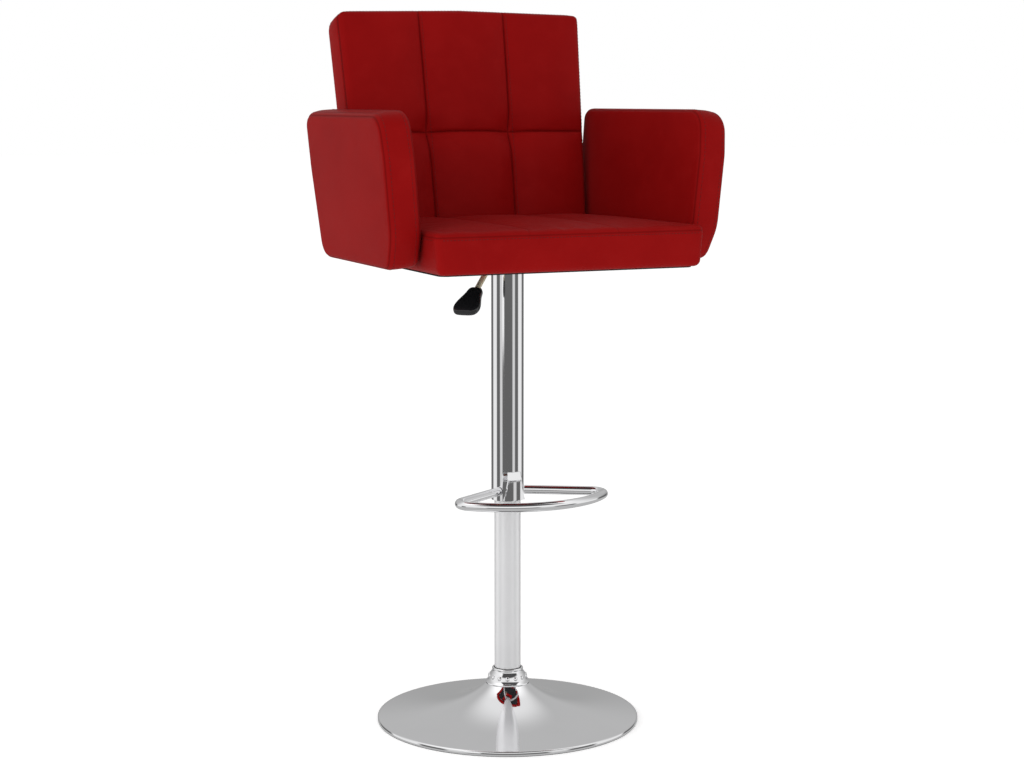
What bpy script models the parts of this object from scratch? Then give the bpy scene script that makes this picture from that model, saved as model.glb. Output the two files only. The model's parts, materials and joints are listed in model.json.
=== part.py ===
"""Adjustable swivel bar stool with arms: chrome gas-lift pedestal, footrest ring, upholstered seat.

Metres, +Z up. The origin is on the swivel axis, on the floor. The sitter faces -Y.
The stool is drawn with its gas lift fully raised.
"""
import math

import bmesh
import bpy
from mathutils import Matrix, Vector

# ---------------------------------------------------------------- driving dimensions
GAP = 0.0003                    # clearance kept between pieces that touch
SLIDE_FIT = 0.00035             # running clearance of pieces that turn or slide on each other

BASE_D = 0.385                  # trumpet base
BASE_RIM_H = 0.0065
BASE_NECK_H = 0.055             # top of the trumpet, where the collar stands
BASE_WALL = 0.0015
BASE_SLOPE = 0.09               # the base's slope at its rim
BASE_FLARE = 0.039              # reach over which it turns up to the neck
SHELL_DROP = 1.35               # the wall's height over its thickness, where the shell slopes most
RUBBER_H = 0.003                # rubber ring under the rim
RUBBER_W = 0.011
WEIGHT_TOP_GAP = 0.001          # from the weight's edge up to the shell
WEIGHT_HUB_H = 0.022

COLUMN_D = 0.0385               # lower column, fixed to the base
COLUMN_WALL = 0.002
FOOT_T = 0.005                  # plate under the column
FOOT_BOLT_D = 0.006
FOOT_BOLT_COUNT = 3
COLLAR_H = 0.023
SEAL_T = 0.0008
BUSH_L = 0.034
LIP_T = 0.002

ROD_D = 0.010                   # gas spring
ROD_END_Z = 0.0008
ROD_SHOULDER_D = 0.016
ROD_SHOULDER_L = 0.004
CLIP_T = 0.001
CLIP_GROOVE = 0.0008
PISTON_L = 0.012
CYLINDER_WALL = 0.0015
CYLINDER_END_WALL = 0.004
GLAND_L = 0.025
VALVE_D = 0.006
VALVE_L = 0.021
BALL_D = 0.004
BALL_COUNT = 6
RACE_T = 0.002

COVER_WALL = 0.0015             # chrome cover tube round the cylinder
COVER_BUSH_L = 0.022

FOOTREST_ROD_D = 0.013
FOOTREST_R = 0.144              # front arc, to the centre line of the rod
FOOTREST_SPREAD = math.radians(58)  # each bar's angle from straight ahead
FOOTREST_CORNER_R = 0.022
SADDLE_H = 0.041
SADDLE_T = 0.005                # how far the saddle stands off the cover tube
SADDLE_SPREAD = math.radians(39)
SADDLE_TOP_BEVEL = 0.003

MECH_CUP_WALL = 0.002
MECH_CUP_R = 0.004              # rounding of the cup's lower edge
MECH_PLATE_T = 0.0025
SOCKET_WALL = 0.0045
SOCKET_H = 0.009
CHEEK_T = 0.002                 # cheeks of the lever's bracket
SCREW_D = 0.006
SCREW_HEAD_D = 0.011
SCREW_HEAD_H = 0.003

LEVER_AZIMUTH = math.radians(47)    # from straight ahead (-Y) towards the sitter's right (-X)
LEVER_ROD_D = 0.008
LEVER_DROP = 0.0395             # from the pivot down to the paddle's neck
LEVER_PIVOT_REACH = 0.026
LEVER_PIN_D = 0.003
LEVER_BEND = 0.016              # length of rod taken up by half its bend
PADDLE_L = 0.054
PADDLE_NECK_W = 0.019
PADDLE_END_W = 0.038
PADDLE_T = 0.012
PADDLE_SLOPE = math.radians(31)
PADDLE_SOCKET = 0.016

SEAT_BOTTOM = 0.679             # height of the seat's underside, with the lift fully raised
SEAT_H = 0.0575
SEAT_FRONT = -0.211
SEAT_SIDE_GAP = 0.0028          # between the cushion and the arms
SEAT_BACK_GAP = 0.003           # between the cushion and the backrest
SEAT_CORNER_R = 0.012
SEAT_EDGE_R = 0.006
BOARD_T = 0.012                 # plywood in the seat, back and arms
SEAT_RIM = 0.026                # cushion wall round the seat board
SEAT_POCKET_H = 0.017           # from the cushion's underside to the board
UNDER_SHEET_T = 0.0012
UNDER_SHEET_INSET = 0.005

BACK_RECLINE = math.radians(10)
BACK_T = 0.049
BACK_H = 0.351
BACK_CROWN = 0.004
BACK_BOARD_MARGIN = 0.028       # from the board's ends out to the backrest's narrowest edge
BACK_TAPER = 0.036              # half width gained for each metre of height
BACK_SIDE_GAP = 0.003           # between the backrest and the arms, at the bottom
BACK_FRONT_Y = 0.106            # front face at the height of the seat's top
BACK_CORNER_R = 0.014
BACK_EDGE_R = 0.006

ARM_T = 0.0455
ARM_H = 0.209
ARM_TOE = math.radians(3.0)
ARM_TILT = math.radians(5.2)
ARM_OUTER_X = 0.2485            # outer face at Y = 0 and half the arm's height
ARM_EDGE_R = 0.006

STRAP_W = 0.025
STRAP_T = 0.003
STRAP_UP = 0.065

SEGMENTS = 36
SMALL_SEGMENTS = 12
BASE_SEGMENTS = 48

# ---------------------------------------------------------------- sizes that follow from them
BASE_NECK_D = COLUMN_D + 0.0275
COLLAR_TOP_D = COLUMN_D + 0.0045
FOOT_D = COLUMN_D + 0.0525
FOOT_BOLT_CIRCLE = COLUMN_D + 0.0235
WEIGHT_D = BASE_D - 0.085
WEIGHT_HUB_D = FOOT_D + 0.033
CYLINDER_D = COLUMN_D - 2 * COLUMN_WALL - 0.0065
CYLINDER_TAPER_D = CYLINDER_D - 0.0014
RACE_D = CYLINDER_D
BALL_CIRCLE = RACE_D - 0.0065
COVER_D = COLUMN_D + 0.009
MECH_CUP_D = 2 * (LEVER_PIVOT_REACH + 0.012)
MECH_PLATE = 2 * (BACK_FRONT_Y - SEAT_RIM - 0.012)      # square, clear of the cushion's rear wall
MECH_SCREW_SPAN = MECH_PLATE - 0.028
UNDER_SHEET_OPENING = MECH_PLATE + 0.012
PADDLE_START = UNDER_SHEET_OPENING / 2 + 0.044      # reach of the paddle's neck
ARM_FRONT = SEAT_FRONT + 0.039
ARM_REAR = BACK_FRONT_Y + 0.053
ARM_BOARD_L = ARM_REAR - ARM_FRONT - 0.081
ARM_BOARD_H = ARM_H - 0.059
ARM_STRAP_YS = (ARM_FRONT + 0.082, ARM_REAR - 0.109)
BACK_BOARD_H = BACK_H - 0.051
ARM_STRAP_IN = SEAT_RIM + 0.034     # how far the straps run in under the seat board
BACK_STRAP_IN = MECH_PLATE / 2 - 0.008
BACK_STRAP_X = (MECH_PLATE + STRAP_W) / 2 + 0.004

# ---------------------------------------------------------------- heights, from the floor up
FOOT_Z = RUBBER_H + 0.001
COLUMN_BOTTOM = FOOT_Z + FOOT_T + GAP
LOWER_RACE_Z = COLUMN_BOTTOM
BALL_Z = LOWER_RACE_Z + RACE_T + GAP + BALL_D / 2
UPPER_RACE_Z = BALL_Z + BALL_D / 2 + GAP
SHOULDER_Z = UPPER_RACE_Z + RACE_T + GAP
SEAT_TOP = SEAT_BOTTOM + SEAT_H
MECH_Z = SEAT_BOTTOM - 0.015    # underside of the seat mechanism
LIFT_STROKE = (MECH_Z - 0.244) / 2
COLUMN_TOP = MECH_Z - LIFT_STROKE - 0.014
CYLINDER_BOTTOM = COLUMN_TOP - 0.180
COVER_BOTTOM = COLUMN_TOP - 0.110
FOOTREST_Z = COVER_BOTTOM + 0.0145
PISTON_Z = CYLINDER_BOTTOM + GLAND_L + 0.015
ROD_TOP = PISTON_Z + PISTON_L
COVER_TOP = MECH_Z - GAP
MECH_PLATE_Z = SEAT_BOTTOM + SEAT_POCKET_H - GAP - MECH_PLATE_T
SEAT_BOARD_Z = SEAT_BOTTOM + SEAT_POCKET_H
STRAP_Z = SEAT_BOARD_Z - GAP - STRAP_T
LEVER_Z = MECH_PLATE_Z - LEVER_ROD_D / 2 - 0.0032
VALVE_TOP = LEVER_Z - LEVER_ROD_D / 2 - 0.0005
CYLINDER_TOP = VALVE_TOP - 0.006
ARM_BOTTOM = SEAT_BOTTOM + 0.004
ARM_TOP = ARM_BOTTOM + ARM_H
BACK_BOTTOM = SEAT_BOTTOM + 0.010
BACK_TOP = BACK_BOTTOM + BACK_H
ARM_MID_Z = (ARM_BOTTOM + ARM_TOP) / 2
SEAT_MID_Z = (SEAT_BOTTOM + SEAT_TOP) / 2

# ---------------------------------------------------------------- pockets for the boards
BOARD_POCKET_T = STRAP_T + BOARD_T + 3 * GAP
ARM_POCKET_INNER = (ARM_T - BOARD_POCKET_T) * 0.447     # padding on the inner side of the pocket
BACK_POCKET_FRONT = (BACK_T - BOARD_POCKET_T) * 0.550   # padding in front of the pocket

CHROME = ((0.80, 0.80, 0.81), 0.08, 1.0)
SATIN_CHROME = ((0.78, 0.78, 0.79), 0.20, 1.0)
STEEL = ((0.42, 0.42, 0.43), 0.35, 1.0)
BLACK_STEEL = ((0.030, 0.030, 0.032), 0.50, 0.6)
ZINC = ((0.62, 0.54, 0.36), 0.30, 1.0)
BRASS = ((0.72, 0.56, 0.25), 0.25, 1.0)
CAST_IRON = ((0.10, 0.10, 0.10), 0.75, 0.5)
RUBBER = ((0.020, 0.020, 0.020), 0.85, 0.0)
NYLON = ((0.06, 0.06, 0.06), 0.45, 0.0)
GLOSS_BLACK = ((0.012, 0.012, 0.013), 0.18, 0.0)
PLYWOOD = ((0.55, 0.40, 0.24), 0.70, 0.0)
RED_LEATHER = ((0.26, 0.008, 0.009), 0.38, 0.0)
BLACK_CLOTH = ((0.020, 0.020, 0.022), 0.90, 0.0)


# ---------------------------------------------------------------- small helpers
def clear_scene():
    """Remove every object the scene starts with."""
    for obj in list(bpy.data.objects):
        bpy.data.objects.remove(obj, do_unlink=True)


def finish_material(name, look):
    """A Principled material of one colour, roughness and metallic value."""
    colour, roughness, metallic = look
    material = bpy.data.materials.new(name)
    material.use_nodes = True
    shader = material.node_tree.nodes["Principled BSDF"]
    shader.inputs["Base Color"].default_value = (*colour, 1.0)
    shader.inputs["Roughness"].default_value = roughness
    shader.inputs["Metallic"].default_value = metallic
    material.diffuse_color = (*colour, 1.0)
    return material


def add_object(name, data, look, parent=None, location=(0, 0, 0), rotation=(0, 0, 0)):
    """Link an object that holds the data, with a material of its own."""
    obj = bpy.data.objects.new(name, data)
    bpy.context.scene.collection.objects.link(obj)
    obj.location = location
    obj.rotation_euler = rotation
    obj.parent = parent
    if look:
        data.materials.append(finish_material(name + "_finish", look))
    return obj


def add_empty(name, location, rotation=(0, 0, 0), parent=None):
    """An axis that pieces hang from."""
    empty = bpy.data.objects.new(name, None)
    bpy.context.scene.collection.objects.link(empty)
    empty.location = location
    empty.rotation_euler = rotation
    empty.parent = parent
    return empty


def mesh_from(bm, name, smooth_angle=35):
    """Turn a bmesh into a mesh whose faces point out and whose round sides are smooth."""
    bmesh.ops.recalc_face_normals(bm, faces=bm.faces)
    mesh = bpy.data.meshes.new(name)
    bm.to_mesh(mesh)
    bm.free()
    mesh.shade_smooth()
    mesh.set_sharp_from_angle(angle=math.radians(smooth_angle))
    return mesh


def turned_mesh(name, profile, segments=SEGMENTS):
    """Spin a closed (radius, height) outline round Z. Points of radius 0 lie on the axis."""
    bm = bmesh.new()
    verts = [bm.verts.new((r, 0, z)) for r, z in profile]
    edges = []
    for i, vert in enumerate(verts):
        after = verts[(i + 1) % len(verts)]
        if vert.co.x == 0 and after.co.x == 0:
            continue
        edges.append(bm.edges.new((vert, after)))
    bmesh.ops.spin(bm, geom=verts + edges, cent=(0, 0, 0), axis=(0, 0, 1),
                   angle=2 * math.pi, steps=segments, use_merge=True)
    bmesh.ops.remove_doubles(bm, verts=bm.verts, dist=1e-6)
    return mesh_from(bm, name)


def ring_profile(inner_r, outer_r, bottom, top):
    """The outline of a plain ring."""
    return [(inner_r, bottom), (outer_r, bottom), (outer_r, top), (inner_r, top)]


def add_turned(name, profile, look, segments=SEGMENTS, parent=None, location=(0, 0, 0)):
    """A turned piece."""
    return add_object(name, turned_mesh(name, profile, segments), look, parent, location)


def box_mesh(name, low, high):
    """A box between two corners."""
    bm = bmesh.new()
    size = Vector(high) - Vector(low)
    centre = (Vector(high) + Vector(low)) / 2
    matrix = Matrix.Translation(centre) @ Matrix.Diagonal((*size, 1))
    bmesh.ops.create_cube(bm, size=1, matrix=matrix)
    return mesh_from(bm, name)


def prism_mesh(name, outline, length, along="X"):
    """Extrude a closed outline to both sides of its plane, along X, Y or Z.

    The outline is (y, z) along X, (x, z) along Y and (x, y) along Z.
    """
    bm = bmesh.new()
    half = length / 2
    places = {"X": lambda a, b: (-half, a, b), "Y": lambda a, b: (a, -half, b),
              "Z": lambda a, b: (a, b, -half)}
    steps = {"X": (length, 0, 0), "Y": (0, length, 0), "Z": (0, 0, length)}
    face = bm.faces.new([bm.verts.new(places[along](a, b)) for a, b in outline])
    raised = bmesh.ops.extrude_face_region(bm, geom=[face])
    moved = [item for item in raised["geom"] if isinstance(item, bmesh.types.BMVert)]
    bmesh.ops.translate(bm, verts=moved, vec=steps[along])
    return mesh_from(bm, name)


def rounded_outline(corners, steps=5):
    """Points of a closed outline whose corners, (a, b, radius), are arcs."""
    points = []
    count = len(corners)
    for i, (a, b, radius) in enumerate(corners):
        corner = Vector((a, b))
        before = (Vector(corners[i - 1][:2]) - corner).normalized()
        after = (Vector(corners[(i + 1) % count][:2]) - corner).normalized()
        half = before.angle(after) / 2
        centre = corner + (before + after).normalized() * radius / math.sin(half)
        start = corner + before * radius / math.tan(half) - centre
        end = corner + after * radius / math.tan(half) - centre
        turn = start.angle_signed(end)
        for k in range(steps + 1):
            angle = -turn * k / steps
            turned = Matrix.Rotation(angle, 2) @ start
            points.append(tuple(centre + turned))
    return points


def soften(obj, width, segments=2):
    """Round an object's edges with a live bevel."""
    bevel = obj.modifiers.new("edges", "BEVEL")
    bevel.width = width
    bevel.segments = segments
    bevel.limit_method = "ANGLE"
    bevel.angle_limit = math.radians(40)
    return bevel


def bent_rod_mesh(name, points, radius):
    """A round rod along a line of points, with flat ends."""
    curve = bpy.data.curves.new(name, "CURVE")
    curve.dimensions = "3D"
    curve.bevel_depth = radius
    curve.bevel_resolution = 3
    curve.use_fill_caps = True
    spline = curve.splines.new("POLY")
    spline.points.add(len(points) - 1)
    for point, place in zip(spline.points, points):
        point.co = (*place, 1)
    guide = bpy.data.objects.new(name, curve)
    bm = bmesh.new()
    bm.from_mesh(bpy.data.meshes.new_from_object(guide))
    bpy.data.objects.remove(guide)
    bpy.data.curves.remove(curve)
    bmesh.ops.remove_doubles(bm, verts=bm.verts, dist=1e-6)
    return mesh_from(bm, name)


def cutter(name, mesh, parent=None, location=(0, 0, 0), rotation=(0, 0, 0)):
    """A hidden shape that only cuts others."""
    obj = add_object(name, mesh, None, parent, location, rotation)
    obj.hide_render = True
    obj.display_type = "WIRE"
    return obj


def cut(obj, tool, operation="DIFFERENCE"):
    """Cut an object with a tool, or join the tool to it, exactly."""
    boolean = obj.modifiers.new(tool.name, "BOOLEAN")
    boolean.operation = operation
    boolean.solver = "EXACT"
    boolean.object = tool


def peg_cutter(name, radius, bottom, top, location=(0, 0), parent=None, segments=SMALL_SEGMENTS):
    """A hidden upright peg, for drilling a hole."""
    mesh = turned_mesh(name, [(0, bottom), (radius, bottom), (radius, top), (0, top)], segments)
    return cutter(name, mesh, parent, (*location, 0))


def screw_mesh(name, shank_d, head_d, head_h, length):
    """A hexagon-head screw that points up: its head hangs below z = 0."""
    bm = bmesh.new()
    hexagon = [bm.verts.new((head_d / 2 * math.cos(math.tau * k / 6),
                             head_d / 2 * math.sin(math.tau * k / 6), -head_h)) for k in range(6)]
    head = bm.faces.new(hexagon)
    raised = bmesh.ops.extrude_face_region(bm, geom=[head])
    verts = [item for item in raised["geom"] if isinstance(item, bmesh.types.BMVert)]
    bmesh.ops.translate(bm, verts=verts, vec=(0, 0, head_h))
    top = next(item for item in raised["geom"] if isinstance(item, bmesh.types.BMFace))
    bmesh.ops.inset_individual(bm, faces=[top], thickness=(head_d - shank_d) / 2)
    raised = bmesh.ops.extrude_face_region(bm, geom=[top])
    verts = [item for item in raised["geom"] if isinstance(item, bmesh.types.BMVert)]
    bmesh.ops.translate(bm, verts=verts, vec=(0, 0, length))
    bmesh.ops.delete(bm, geom=[top], context="FACES_ONLY")
    return mesh_from(bm, name)


# ---------------------------------------------------------------- base
def trumpet_height(r):
    """Height of the base's upper surface at a radius: a shallow cone that flares up to the neck."""
    neck_r = BASE_NECK_D / 2
    rise = BASE_NECK_H - BASE_RIM_H - BASE_SLOPE * (BASE_D / 2 - neck_r)
    return BASE_RIM_H + BASE_SLOPE * (BASE_D / 2 - r) + rise * math.exp((neck_r - r) / BASE_FLARE)


def add_base_shell():
    """The spun trumpet shell, open underneath, with a hole for the column at its neck."""
    neck_r = BASE_NECK_D / 2
    rim_r = BASE_D / 2
    hole_r = COLUMN_D / 2 + GAP
    rim_bottom = RUBBER_H + GAP
    drop = BASE_WALL * SHELL_DROP
    steps = 10
    radii = [neck_r + (rim_r - 0.002 - neck_r) * (k / steps) ** 1.6 for k in range(steps + 1)]
    outer = [(r, trumpet_height(r)) for r in radii]
    outer.append((rim_r, BASE_RIM_H - 0.0015))
    outer.append((rim_r, rim_bottom))
    inner = [(rim_r - BASE_WALL, rim_bottom)]
    inner += [(r - BASE_WALL, trumpet_height(r) - drop) for r in reversed(radii)]
    profile = [(hole_r, BASE_NECK_H)] + outer + inner + [(hole_r, BASE_NECK_H - drop)]
    add_turned("base_shell", profile, CHROME, BASE_SEGMENTS)


def add_weight_and_foot():
    """The cast weight, the plate under the column and the bolts that join them."""
    recess_r = FOOT_D / 2 + GAP
    recess_top = FOOT_Z + FOOT_T + GAP
    bore_r = COLUMN_D / 2 + GAP
    edge_r = WEIGHT_D / 2
    edge_top = trumpet_height(edge_r + BASE_WALL) - BASE_WALL * SHELL_DROP - WEIGHT_TOP_GAP
    outline = [(bore_r, recess_top), (recess_r, recess_top), (recess_r, FOOT_Z), (edge_r, FOOT_Z),
               (edge_r, edge_top), (WEIGHT_HUB_D / 2, edge_top),
               (WEIGHT_HUB_D / 2 - 0.008, WEIGHT_HUB_H), (bore_r, WEIGHT_HUB_H)]
    weight = add_turned("weight_plate", outline, CAST_IRON)
    foot = add_turned("column_foot", ring_profile(ROD_D / 2 + SLIDE_FIT, FOOT_D / 2, FOOT_Z, FOOT_Z + FOOT_T),
                      STEEL)
    bolt = screw_mesh("foot_bolt", FOOT_BOLT_D, SCREW_HEAD_D, SCREW_HEAD_H, FOOT_T + 0.009)
    for k in range(FOOT_BOLT_COUNT):
        angle = math.tau * k / FOOT_BOLT_COUNT + math.pi / SEGMENTS
        place = (FOOT_BOLT_CIRCLE / 2 * math.cos(angle), FOOT_BOLT_CIRCLE / 2 * math.sin(angle))
        hole = peg_cutter(f"foot_bolt_hole_{k + 1}", FOOT_BOLT_D / 2 + GAP, FOOT_Z - 0.002,
                          FOOT_Z + FOOT_T + 0.0095, place)
        cut(weight, hole)
        cut(foot, hole)
        add_object(f"foot_bolt_{k + 1}", bolt.copy(), STEEL, location=(*place, FOOT_Z - GAP))


def add_floor_ring():
    """The rubber ring that the base stands on."""
    outer_r = BASE_D / 2 - GAP
    add_turned("floor_ring", ring_profile(outer_r - RUBBER_W, outer_r, 0, RUBBER_H), RUBBER, BASE_SEGMENTS)


def add_column():
    """The lower column, its guide bush, and the collar and seal at its foot."""
    outer_r = COLUMN_D / 2
    inner_r = outer_r - COLUMN_WALL
    add_turned("lower_column", ring_profile(inner_r, outer_r, COLUMN_BOTTOM, COLUMN_TOP), SATIN_CHROME)
    guide_r = CYLINDER_D / 2 + SLIDE_FIT
    lip_r = outer_r - GAP
    lip_z = COLUMN_TOP + GAP
    bush = [(guide_r, COLUMN_TOP - BUSH_L), (inner_r - GAP, COLUMN_TOP - BUSH_L), (inner_r - GAP, lip_z),
            (lip_r, lip_z), (lip_r, lip_z + LIP_T), (guide_r, lip_z + LIP_T)]
    add_turned("column_bush", bush, NYLON)
    bore_r = outer_r + GAP
    seal_r = bore_r + SEAL_T
    bottom = BASE_NECK_H + GAP
    top = BASE_NECK_H + COLLAR_H
    seat_z = top - 0.004
    collar = [(bore_r, bottom), (BASE_NECK_D / 2, bottom), (BASE_NECK_D / 2 - 0.001, bottom + 0.003),
              (COLLAR_TOP_D / 2 + 0.001, top - 0.002), (COLLAR_TOP_D / 2, top), (seal_r + GAP, top),
              (seal_r + GAP, seat_z), (bore_r, seat_z)]
    add_turned("collar", collar, CHROME)
    add_turned("collar_seal", ring_profile(bore_r, seal_r, seat_z + GAP, top + 0.0006), RUBBER)


# ---------------------------------------------------------------- thrust bearing and gas spring
def add_thrust_bearing():
    """Two races, and a flat cage that carries the balls between them."""
    race = {"lower": LOWER_RACE_Z, "upper": UPPER_RACE_Z}
    for name, z in race.items():
        add_turned(f"bearing_{name}_race", ring_profile(ROD_D / 2 + SLIDE_FIT, RACE_D / 2, z, z + RACE_T),
                   STEEL, SMALL_SEGMENTS)
    cage = add_turned("ball_cage", ring_profile(ROD_D / 2 + 0.002, RACE_D / 2 - 0.0005,
                                                  BALL_Z - 0.0006, BALL_Z + 0.0006),
                      BRASS, SMALL_SEGMENTS)
    for k in range(BALL_COUNT):
        angle = math.tau * k / BALL_COUNT
        bm = bmesh.new()
        bmesh.ops.create_uvsphere(bm, u_segments=8, v_segments=4, radius=BALL_D / 2)
        ball = cutter(f"ball_{k + 1}", mesh_from(bm, "ball"),
                      location=(BALL_CIRCLE / 2 * math.cos(angle), BALL_CIRCLE / 2 * math.sin(angle), BALL_Z))
        cut(cage, ball, "UNION")


def add_piston_rod():
    """The rod that stands on the bearing, its clip under the foot, and the piston on its top."""
    rod_r = ROD_D / 2
    shoulder_r = ROD_SHOULDER_D / 2
    shoulder_top = SHOULDER_Z + ROD_SHOULDER_L
    groove_r = rod_r - CLIP_GROOVE
    clip_top = FOOT_Z - 4 * GAP
    clip_z = clip_top - CLIP_T
    rod = [(0, ROD_END_Z), (rod_r, ROD_END_Z), (rod_r, clip_z - GAP), (groove_r, clip_z - GAP),
           (groove_r, clip_top + GAP), (rod_r, clip_top + GAP), (rod_r, SHOULDER_Z), (shoulder_r, SHOULDER_Z),
           (shoulder_r, shoulder_top), (rod_r, shoulder_top), (rod_r, ROD_TOP), (0, ROD_TOP)]
    add_turned("piston_rod", rod, CHROME, SMALL_SEGMENTS)
    clip = ring_profile(groove_r + GAP, rod_r + 5 * CLIP_GROOVE, clip_z, clip_top)
    add_turned("rod_clip", clip, STEEL, SMALL_SEGMENTS)
    piston_r = CYLINDER_D / 2 - CYLINDER_WALL - SLIDE_FIT
    add_turned("piston_head", ring_profile(rod_r + GAP, piston_r, PISTON_Z, ROD_TOP), NYLON, SMALL_SEGMENTS)


def add_gas_cylinder():
    """The sliding cylinder, its gland at the bottom and its valve pin at the top."""
    outer_r = CYLINDER_D / 2
    inner_r = outer_r - CYLINDER_WALL
    taper_r = CYLINDER_TAPER_D / 2
    valve_r = VALVE_D / 2
    cone_r = taper_r - CYLINDER_WALL - 0.001
    valve_hole_r = valve_r + SLIDE_FIT
    end_z = CYLINDER_TOP - CYLINDER_END_WALL
    taper_z = MECH_Z - 0.010
    tube = [(inner_r, CYLINDER_BOTTOM), (outer_r, CYLINDER_BOTTOM), (outer_r, taper_z),
            (taper_r, CYLINDER_TOP), (valve_hole_r, CYLINDER_TOP), (valve_hole_r, end_z), (cone_r, end_z),
            (cone_r, taper_z - 0.004), (inner_r, taper_z - 0.006)]
    add_turned("gas_cylinder", tube, BLACK_STEEL)
    gland = ring_profile(ROD_D / 2 + SLIDE_FIT, inner_r - GAP, CYLINDER_BOTTOM + 0.0005,
                         CYLINDER_BOTTOM + GLAND_L)
    add_turned("rod_gland", gland, NYLON, SMALL_SEGMENTS)
    pin = [(0, VALVE_TOP - VALVE_L), (valve_r, VALVE_TOP - VALVE_L), (valve_r, VALVE_TOP - 0.0005),
           (valve_r - 0.0005, VALVE_TOP), (0, VALVE_TOP)]
    add_turned("valve_pin", pin, BRASS, SMALL_SEGMENTS)


def add_cover_tube():
    """The chrome tube that hides the cylinder, and the bush that guides it on the column."""
    outer_r = COVER_D / 2
    inner_r = outer_r - COVER_WALL
    add_turned("cover_tube", ring_profile(inner_r, outer_r, COVER_BOTTOM, COVER_TOP), CHROME)
    bush = ring_profile(COLUMN_D / 2 + SLIDE_FIT, inner_r - GAP, COVER_BOTTOM + 0.0005,
                        COVER_BOTTOM + COVER_BUSH_L)
    add_turned("cover_bush", bush, NYLON)


# ---------------------------------------------------------------- footrest
def direction(angle, side=1):
    """A level unit vector, turned by the angle from straight ahead."""
    return Vector((side * math.sin(angle), -math.cos(angle), 0))


def footrest_path():
    """The rod's centre line: out along one bar, round the front arc, and back along the other."""
    start_r = COVER_D / 2 + 0.0015
    corner_reach = FOOTREST_R - FOOTREST_CORNER_R
    corner_turn = math.asin(FOOTREST_CORNER_R / corner_reach)
    corner_angle = FOOTREST_SPREAD - corner_turn
    bar_end = math.sqrt(corner_reach ** 2 - FOOTREST_CORNER_R ** 2)
    half = [direction(FOOTREST_SPREAD) * start_r, direction(FOOTREST_SPREAD) * bar_end]
    centre = direction(corner_angle) * corner_reach
    steps = 6
    for k in range(1, steps + 1):
        heading = FOOTREST_SPREAD + math.pi / 2 - (math.pi / 2 + corner_turn) * k / steps
        half.append(centre + direction(heading) * FOOTREST_CORNER_R)
    arc_steps = 5
    for k in range(1, arc_steps + 1):
        half.append(direction(corner_angle * (1 - k / arc_steps)) * FOOTREST_R)
    other = [Vector((-p.x, p.y, 0)) for p in reversed(half[:-1])]
    return half + other


def add_footrest():
    """The bent rod and the saddle that holds it on the cover tube."""
    ring = bent_rod_mesh("footrest_ring", footrest_path(), FOOTREST_ROD_D / 2)
    add_object("footrest_ring", ring, CHROME, location=(0, 0, FOOTREST_Z))

    inner_r = COVER_D / 2 + GAP
    outer_r = COVER_D / 2 + SADDLE_T
    bottom = COVER_BOTTOM + 0.002
    outline = [(inner_r, bottom), (outer_r, bottom), (outer_r, bottom + SADDLE_H - 0.010),
               (inner_r + SADDLE_TOP_BEVEL, bottom + SADDLE_H), (inner_r, bottom + SADDLE_H)]
    bm = bmesh.new()
    verts = [bm.verts.new((r, 0, z)) for r, z in outline]
    face = bm.faces.new(verts)
    start = -math.pi / 2 - SADDLE_SPREAD
    bmesh.ops.rotate(bm, verts=verts, cent=(0, 0, 0), matrix=Matrix.Rotation(start, 3, "Z"))
    bmesh.ops.spin(bm, geom=[face], cent=(0, 0, 0), axis=(0, 0, 1), angle=2 * SADDLE_SPREAD, steps=10)
    add_object("footrest_saddle", mesh_from(bm, "footrest_saddle"), CHROME)


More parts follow.
